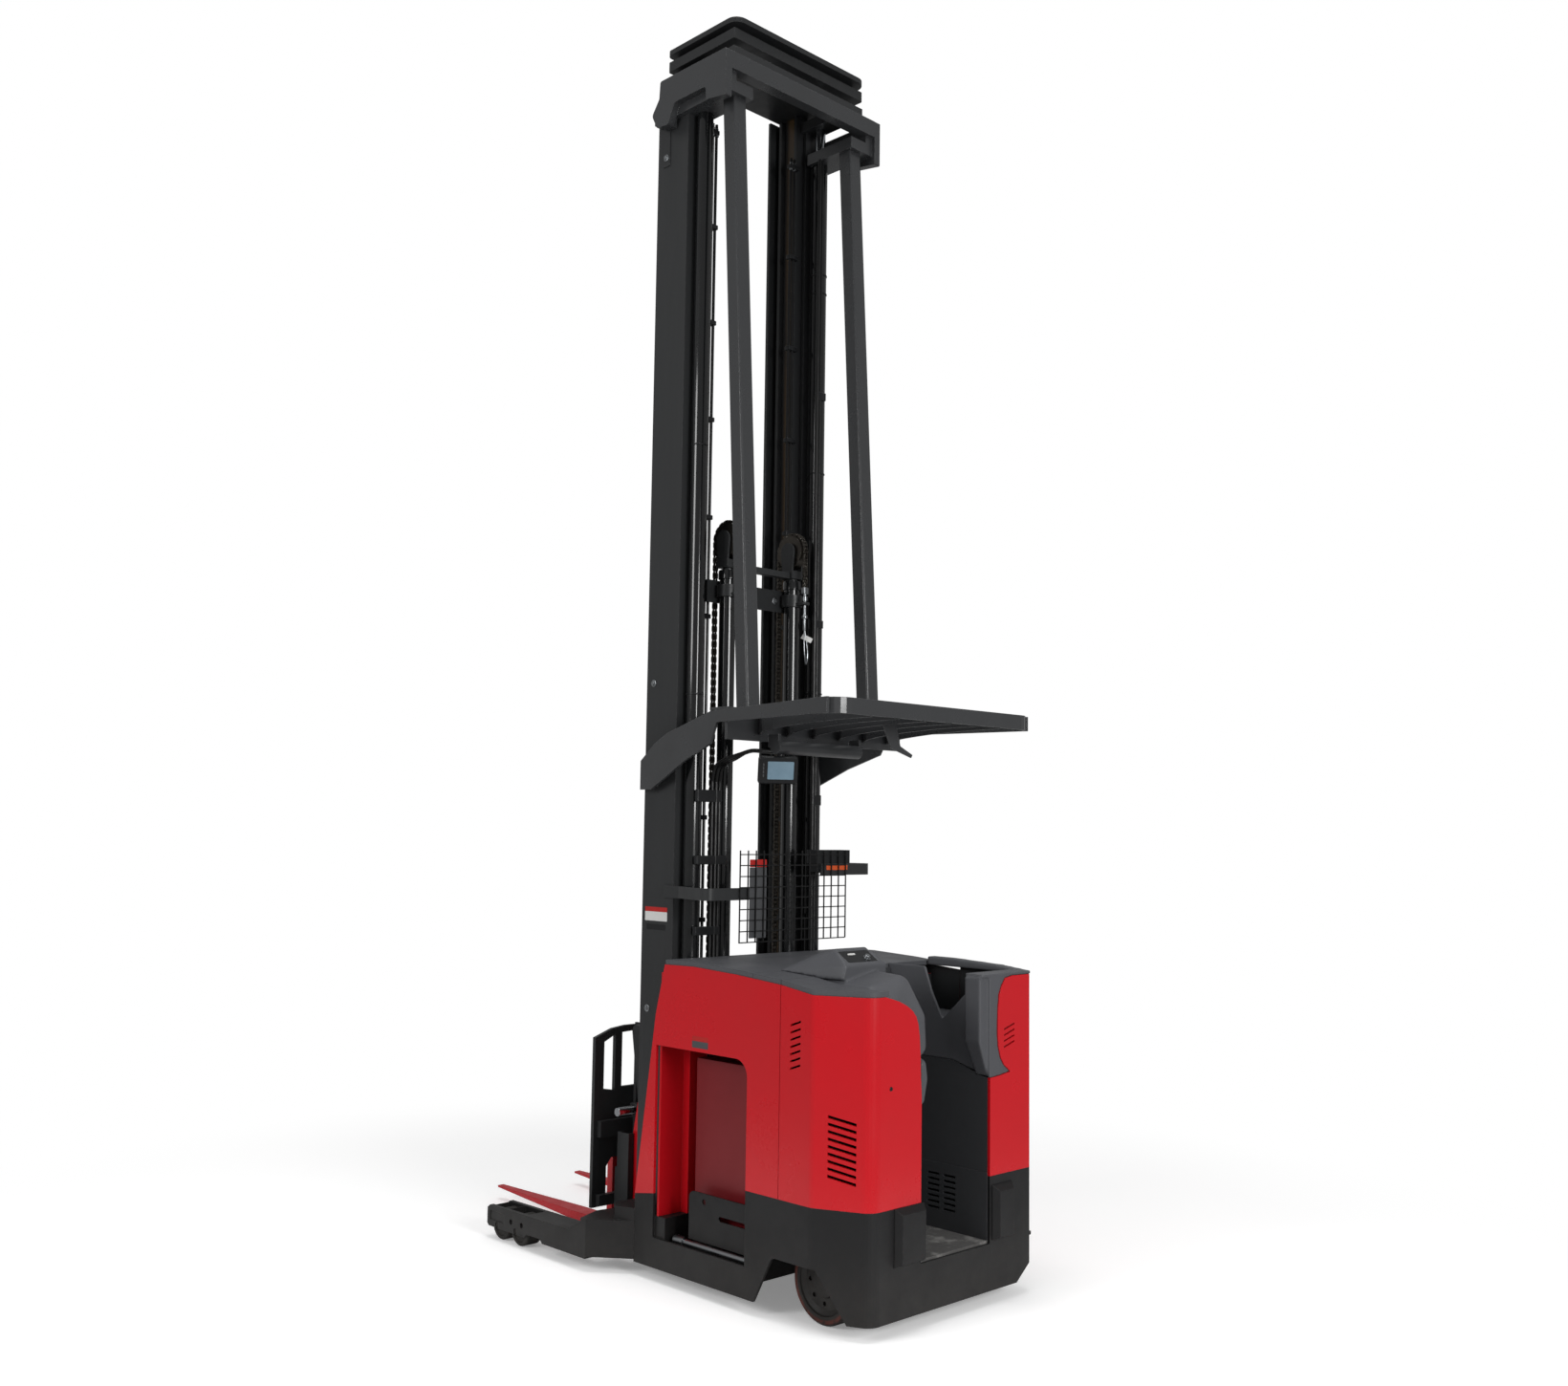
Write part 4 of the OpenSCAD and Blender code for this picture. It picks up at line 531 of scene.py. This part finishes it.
def add_chains():
    """Leaf chains over both sheaves, their anchors on the inner mast and on the carriage."""
    chains = make_piece("leaf_chains", both_sides(leaf_chain()), OILED_STEEL, "crosshead")
    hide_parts("lift_chains")
    rod_x = SHEAVE_X - CHAIN_REACH
    rod = turned([(7, 0), (8, 2), (8, 60), (14, 61), (15, 63), (15, 75), (14, 77), (8, 78), (8, 150),
                  (14, 151), (14, 172), (9, 176), (9, 196)], 12)
    fork_end = seated(slab(26, 30, 34, 5, 2), (rod_x, SHEAVE_Y, CHAIN_ANCHOR_Z - 34))
    shelf = seated(slab(76, 44, 14, 6, 2), (rod_x + 22, SHEAVE_Y, 3200))
    make_piece("chain_anchor_rods", both_sides(joined(seated(rod, (rod_x, SHEAVE_Y, 3070)), fork_end)),
               ZINC, "inner_mast")
    make_piece("chain_anchor_shelves", both_sides(shelf), MAST_CHARCOAL, "inner_mast")
    anchor = seated(slab(54, 50, 62, 8, 2), (1375, 230.5, 650))
    make_piece("carriage_chain_anchors", both_sides(anchor), MAST_CHARCOAL, "mast_carriage")


def add_hoses():
    """Hoses and cables clipped along the mast and under the guard, with their clamps and ties."""
    lines = [swept(smooth_line([(1336, y, 330), (1336, y, 2400), (1336, y, 4200), (1336, y, 5520),
                                (1334, y, 5570)], 4), radius)
             for y, radius in ((290, 8), (266, 8))]
    make_piece("mast_hoses", both_sides(joined(*lines)), HOSE_BLACK, "inner_mast")
    ferrule = turned([(8, 0), (11, 2), (11, 30), (9, 33), (9, 44), (6, 46)], 12)
    make_piece("hose_ferrules", both_sides(joined(*[seated(ferrule, (1334, y, 5560)) for y in (290, 266)])),
               ZINC, "inner_mast")
    clip_z = np.arange(620, 5600, 495.0)
    clip = seated(slab(34, 66, 22, 6, 2), (1338, 287, 0))
    make_piece("hose_clips", both_sides(repeated(clip, np.stack([clip_z * 0, clip_z * 0, clip_z], -1))),
               SCREEN_BLACK, "inner_mast")
    risers = [swept(smooth_line([(1184, y, 330), (1184, y, 1300), (1184, y, 2217), (1182, y + 2, 2290),
                                 (1150, y + 8, 2362), (1050, y + 16, 2396), (950, 392 - 0.2 * y, 2426),
                                 (870, 356 - 0.1 * y, 2424), (800, 300 + 0.02 * y, 2418)], 6), radius)
              for y, radius in ((304, 9), (326, 10), (349, 8))]
    make_piece("guard_hoses", joined(*risers), HOSE_BLACK, "chassis")
    right = [swept([(1184, -y, 330), (1184, -y, 1500), (1184, -y, 3000), (1184, -y, 5590)], radius)
             for y, radius in ((332, 10), (352, 7))]
    make_piece("right_hoses", joined(*right), HOSE_BLACK, "chassis")
    clamps = [seated(clamp_block(22, depth, height), (1186, y, z))
              for y, z, depth, height in ((370, 2188, 156, 58), (352, 1892, 190, 42), (370, 1560, 156, 40),
                                          (-359, 2188, 62, 52), (-359, 3100, 62, 40), (-359, 4300, 62, 40))]
    arms = [seated(clamp_block(30, 44, 30), (1206, y, z))
            for y, z in ((408, 2200), (408, 1898), (408, 1565))]
    arms += [seated(clamp_block(34, 24, 30), (1210, -378, z)) for z in (2200, 3105, 4305)]
    make_piece("hose_clamps", joined(*clamps, *arms), SCREEN_BLACK, "chassis")
    tie = turned([(40.2, 0), (42.6, 1.5), (42.6, 7.5), (40.2, 9)], 32)
    ties = repeated(tie, [(1257, -408, z) for z in (4890, 4990, 3920, 2760, 2700)]
                    + [(1257, 408, z) for z in (3920, 2700)])
    make_piece("cylinder_ties", ties, SCREEN_BLACK, "chassis")
    gland = turned([(40.2, 0), (47, 3), (47, 40), (44, 46), (36, 47)], 32)
    make_piece("cylinder_glands", both_sides(seated(gland, (SHEAVE_X, SHEAVE_Y, 3282))), CYLINDER_BLACK,
               "inner_mast")
    loop = swept(smooth_line([(1147, -222, 3080), (1140, -215, 3000), (1143, -224, 2930), (1150, -240, 2900),
                              (1152, -252, 2940), (1148, -240, 3010), (1147, -224, 3075)], 6), 3, 8)
    make_piece("tag_wire", loop, ZINC, "inner_mast")
    tag = seated(slab(56, 26, 1.2, 3, 0.3), (1142, -236, 3030), (-0.7, 0.7, 0.1), (0.5, 0.5, 0.35))
    make_piece("blank_tag", tag, PLATE_WHITE, "inner_mast")


def add_rail_lips():
    """Front flange of the inner rails, which stands in towards the truck's middle."""
    length = 5792
    flange = seated(slab(18, 66, length, 3, 1), (1523, 315, 96))
    web = seated(slab(50, 16, length, 3, 1), (1507, 356, 96))
    make_piece("inner_rail_lips", both_sides(joined(flange, web)), GREASED_CHARCOAL, "inner_mast")


# Display, plates and fasteners

def add_display():
    """Display hung under the guard, turned towards the operator on the left."""
    yaw = math.radians(36)
    tilt = math.radians(14)
    facing = np.array([-math.cos(tilt) * math.cos(yaw), math.cos(tilt) * math.sin(yaw), -math.sin(tilt)])
    across = np.array([math.sin(yaw), math.cos(yaw), 0])
    middle = np.array([797, 292, 2338])
    back = middle - facing * 24
    housing = seated(slab(150, 96, 26, 12, 5), back - facing * 4, facing, across)
    rim = seated(slab(184, 130, 26, 14, 6), middle - facing * 4, facing, across)
    post = seated(turned([(12, 0), (12, 4), (11, 5), (11, 40), (16, 42), (16, 50)], 16), (780, 292, 2358))
    case = make_piece("display_case", joined(housing, rim, post), SCREEN_BLACK, "chassis")
    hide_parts("display")
    make_piece("display_screen", seated(slab(122, 84, 2, 4, 0.5), middle + facing * 21.2 - across * 12, facing, across),
               SCREEN_GLASS, "chassis")
    keys = [seated(slab(6, 14, 2, 2, 0.6), middle + facing * 21.5 + across * 68
                   + np.cross(facing, across) * at, facing, across) for at in (-26, -9, 8, 25)]
    make_piece("display_keys", joined(*keys), PLATE_GREY, "chassis")


def add_plates():
    """Blank plates on the mesh, the left rail and the left panel, and the junction box's strip."""
    mesh_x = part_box("mesh_screen")[1][0] / MM - REAR_FACE_X / MM
    rear = (-1, 0, 0)
    left = (0, 1, 0)
    make_piece("mesh_plate", seated(slab(330, 110, 2.4, 4, 0.5), (mesh_x + 2.3, 236, 1718), rear, (0, 0, 1)),
               PLATE_GREY, "chassis")
    make_piece("mesh_plate_band", seated(slab(36, 108, 2.8, 3, 0.5), (mesh_x + 2.3, 236, 1902), rear, (0, 0, 1)),
               PLATE_RED, "chassis")
    make_piece("rail_plate", seated(slab(165, 44, 1.2, 4, 0.3), (1426, 479.8, 1639), left), PLATE_WHITE, "chassis")
    make_piece("rail_plate_band", seated(slab(165, 22, 1.2, 4, 0.3), (1426, 479.8, 1672), left), PLATE_RED,
               "chassis")
    make_piece("rail_plate_dark", seated(slab(140, 28, 1.2, 4, 0.3), (1426, 479.8, 1588), left), SCREEN_BLACK,
               "chassis")
    panel_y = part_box("side_panel_left")[1][1] / MM
    make_piece("panel_plate", seated(slab(108, 30, 1, 3, 0.3), (944, panel_y - 0.2, 1094), left), PLATE_GREY,
               "chassis")
    make_piece("panel_plate_band", seated(slab(108, 18, 1, 3, 0.3), (944, panel_y - 0.2, 1121), left), PLATE_RED,
               "chassis")
    box_low, box_high = (np.array(corner) / MM - [REAR_FACE_X / MM, 0, 0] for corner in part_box("mast_box"))
    make_piece("box_strip", seated(slab(24, 150, 1.6, 3, 0.4), (box_low[0] + 0.4, -300, 1879), rear, (0, 0, 1)),
               STRIP_ORANGE, "chassis")


def bolt(radius, height):
    """Hexagon bolt head on a washer."""
    washer = turned([(radius * 1.5, 0), (radius * 1.6, 0.6), (radius * 1.6, 2), (radius * 1.5, 2.6)], 24)
    head = turned([(radius, 2.4), (radius, 2.4 + height * 0.85), (radius * 0.85, 2.4 + height)], 6)
    return joined(washer, head)


def button(radius):
    """Button-head screw with a shallow dish for its socket."""
    return turned([(radius, 0), (radius, 1), (radius * 0.85, 2.6), (radius * 0.5, 3.4), (radius * 0.42, 3.4),
                   (radius * 0.36, 1.6), (radius * 0.1, 1.5)], 20)


def add_fasteners():
    """Bolts and screws of the mast, the panels and the covers, and the unions at the head."""
    rear = (-1, 0, 0)
    left = (0, 1, 0)
    bolts = [seated(bolt(11, 8), place, up) for place, up in (
        ((1282, 140, 3225), rear), ((1282, -140, 3225), rear), ((1480, 480, 2765), left),
        ((1464, 485, 5420), left), ((1480, 480, 1200), left))]
    make_piece("mast_bolts", joined(*bolts[:2]), ZINC, "inner_mast")
    strip = seated(slab(50, 190, 5, 4, 1), (1464, 479.8, 5470), left)
    make_piece("rail_strip", strip, MAST_CHARCOAL, "chassis")
    make_piece("rail_bolts", joined(*bolts[2:]), ZINC, "chassis")
    screws = [seated(button(9), (0, 385, 1000), rear), seated(button(8), (94, -274.8, 1230), left)]
    screws += [seated(button(9), (1238, y, z), rear) for y in (431, 567) for z in (625, 690)]
    make_piece("cover_screws", joined(*screws), CHASSIS_BLACK, "chassis")
    union = turned([(9, 0), (13, 1), (13, 16), (9, 18), (9, 26), (12, 27), (12, 40), (8, 42)], 6)
    unions = [seated(union, (1236, -452, 5660)), seated(union, (1200, -470, 5660))]
    make_piece("head_unions", joined(*unions), BRASS, "chassis")


def add_reach_cylinder():
    """Chromed side-shift cylinder across the reach frame, with its end blocks."""
    tube = turned([(20, -400), (22, -398), (22, -250), (27, -249), (27, 249), (22, 250), (22, 398), (20, 400)])
    make_piece("shift_cylinder", seated(tube, (1794, 0, 655), (0, 1, 0)), ROD_CHROME, "reach_frame")
    block = seated(slab(56, 40, 60, 8, 2), (1800, 274, 625))
    make_piece("shift_cylinder_blocks", both_sides(block), MAST_CHARCOAL, "reach_frame")


# Floor and light

def add_floor():
    """Wide white floor that keeps the truck's soft shadow and fades to plain white further out."""
    size = 60.0
    mesh = bpy.data.meshes.new("floor")
    corners = [(-size, -size, -0.001), (size, -size, -0.001), (size, size, -0.001), (-size, size, -0.001)]
    mesh.from_pydata(corners, [], [(0, 1, 2, 3)])
    floor = bpy.data.objects.new("floor", mesh)
    bpy.context.scene.collection.objects.link(floor)
    material = bpy.data.materials.new("white_floor")
    material.use_nodes = True
    tree = material.node_tree
    tree.nodes.clear()
    place = add(tree, "ShaderNodeTexCoord").outputs["Object"]
    reach = add(tree, "ShaderNodeVectorMath", {0: place}, operation="LENGTH").outputs["Value"]
    near = add(tree, "ShaderNodeBsdfDiffuse", {"Color": linear("#fafafa")}).outputs["BSDF"]
    seen = add(tree, "ShaderNodeLightPath").outputs["Is Camera Ray"]
    lift = add(tree, "ShaderNodeEmission", {"Strength": times(tree, seen, 0.22)}).outputs["Emission"]
    lit = add(tree, "ShaderNodeAddShader", {0: near, 1: lift}).outputs["Shader"]
    plain = add(tree, "ShaderNodeMapRange", {"Value": seen, "To Min": 0.3, "To Max": 1.0}).outputs["Result"]
    far = add(tree, "ShaderNodeEmission", {"Strength": plain}).outputs["Emission"]
    both = add(tree, "ShaderNodeMixShader", {"Fac": step(tree, reach, 2.2, 4.5), 1: lit, 2: far})
    add(tree, "ShaderNodeOutputMaterial", {"Surface": both.outputs["Shader"]})
    mesh.materials.append(material)


def add_lamp(name, place, target, size, power):
    """Square soft box at place that faces target."""
    data = bpy.data.lights.new(name, "AREA")
    data.shape = "SQUARE"
    data.size = size
    data.energy = power
    lamp = bpy.data.objects.new(name, data)
    bpy.context.scene.collection.objects.link(lamp)
    aim = (Vector(target) - Vector(place)).to_track_quat("-Z", "Y")
    lamp.matrix_world = Matrix.Translation(place) @ aim.to_matrix().to_4x4()


def add_light():
    """White surround with three soft boxes: rear left, left and above."""
    world = bpy.data.worlds.new("studio")
    bpy.context.scene.world = world
    world.use_nodes = True
    tree = world.node_tree
    tree.nodes.clear()
    path = add(tree, "ShaderNodeLightPath")
    seen = add(tree, "ShaderNodeMath", {0: path.outputs["Is Camera Ray"],
                                        1: path.outputs["Is Transmission Ray"]}, operation="MAXIMUM")
    strength = add(tree, "ShaderNodeMapRange", {"Value": seen.outputs[0], "To Min": 0.38, "To Max": 1.0})
    sky = add(tree, "ShaderNodeBackground", {"Color": (1, 1, 1, 1), "Strength": strength.outputs["Result"]})
    add(tree, "ShaderNodeOutputWorld", {"Surface": sky.outputs["Background"]})
    add_lamp("rear_left_box", (-8.0, 1.2, 3.4), (-0.8, 0, 1.3), 2.6, 330)
    add_lamp("left_box", (0.5, 8.0, 5.0), (0, 0, 2.2), 3.0, 240)
    add_lamp("top_box", (-1.0, 0.5, 10.0), (-0.5, 0, 0), 4.0, 320)


add_camera()
dress_nodes()
add_covers()
add_chains()
add_hoses()
add_rail_lips()
add_display()
add_plates()
add_fasteners()
add_reach_cylinder()
add_floor()
add_light()
bpy.context.scene.view_settings.view_transform = "Standard"
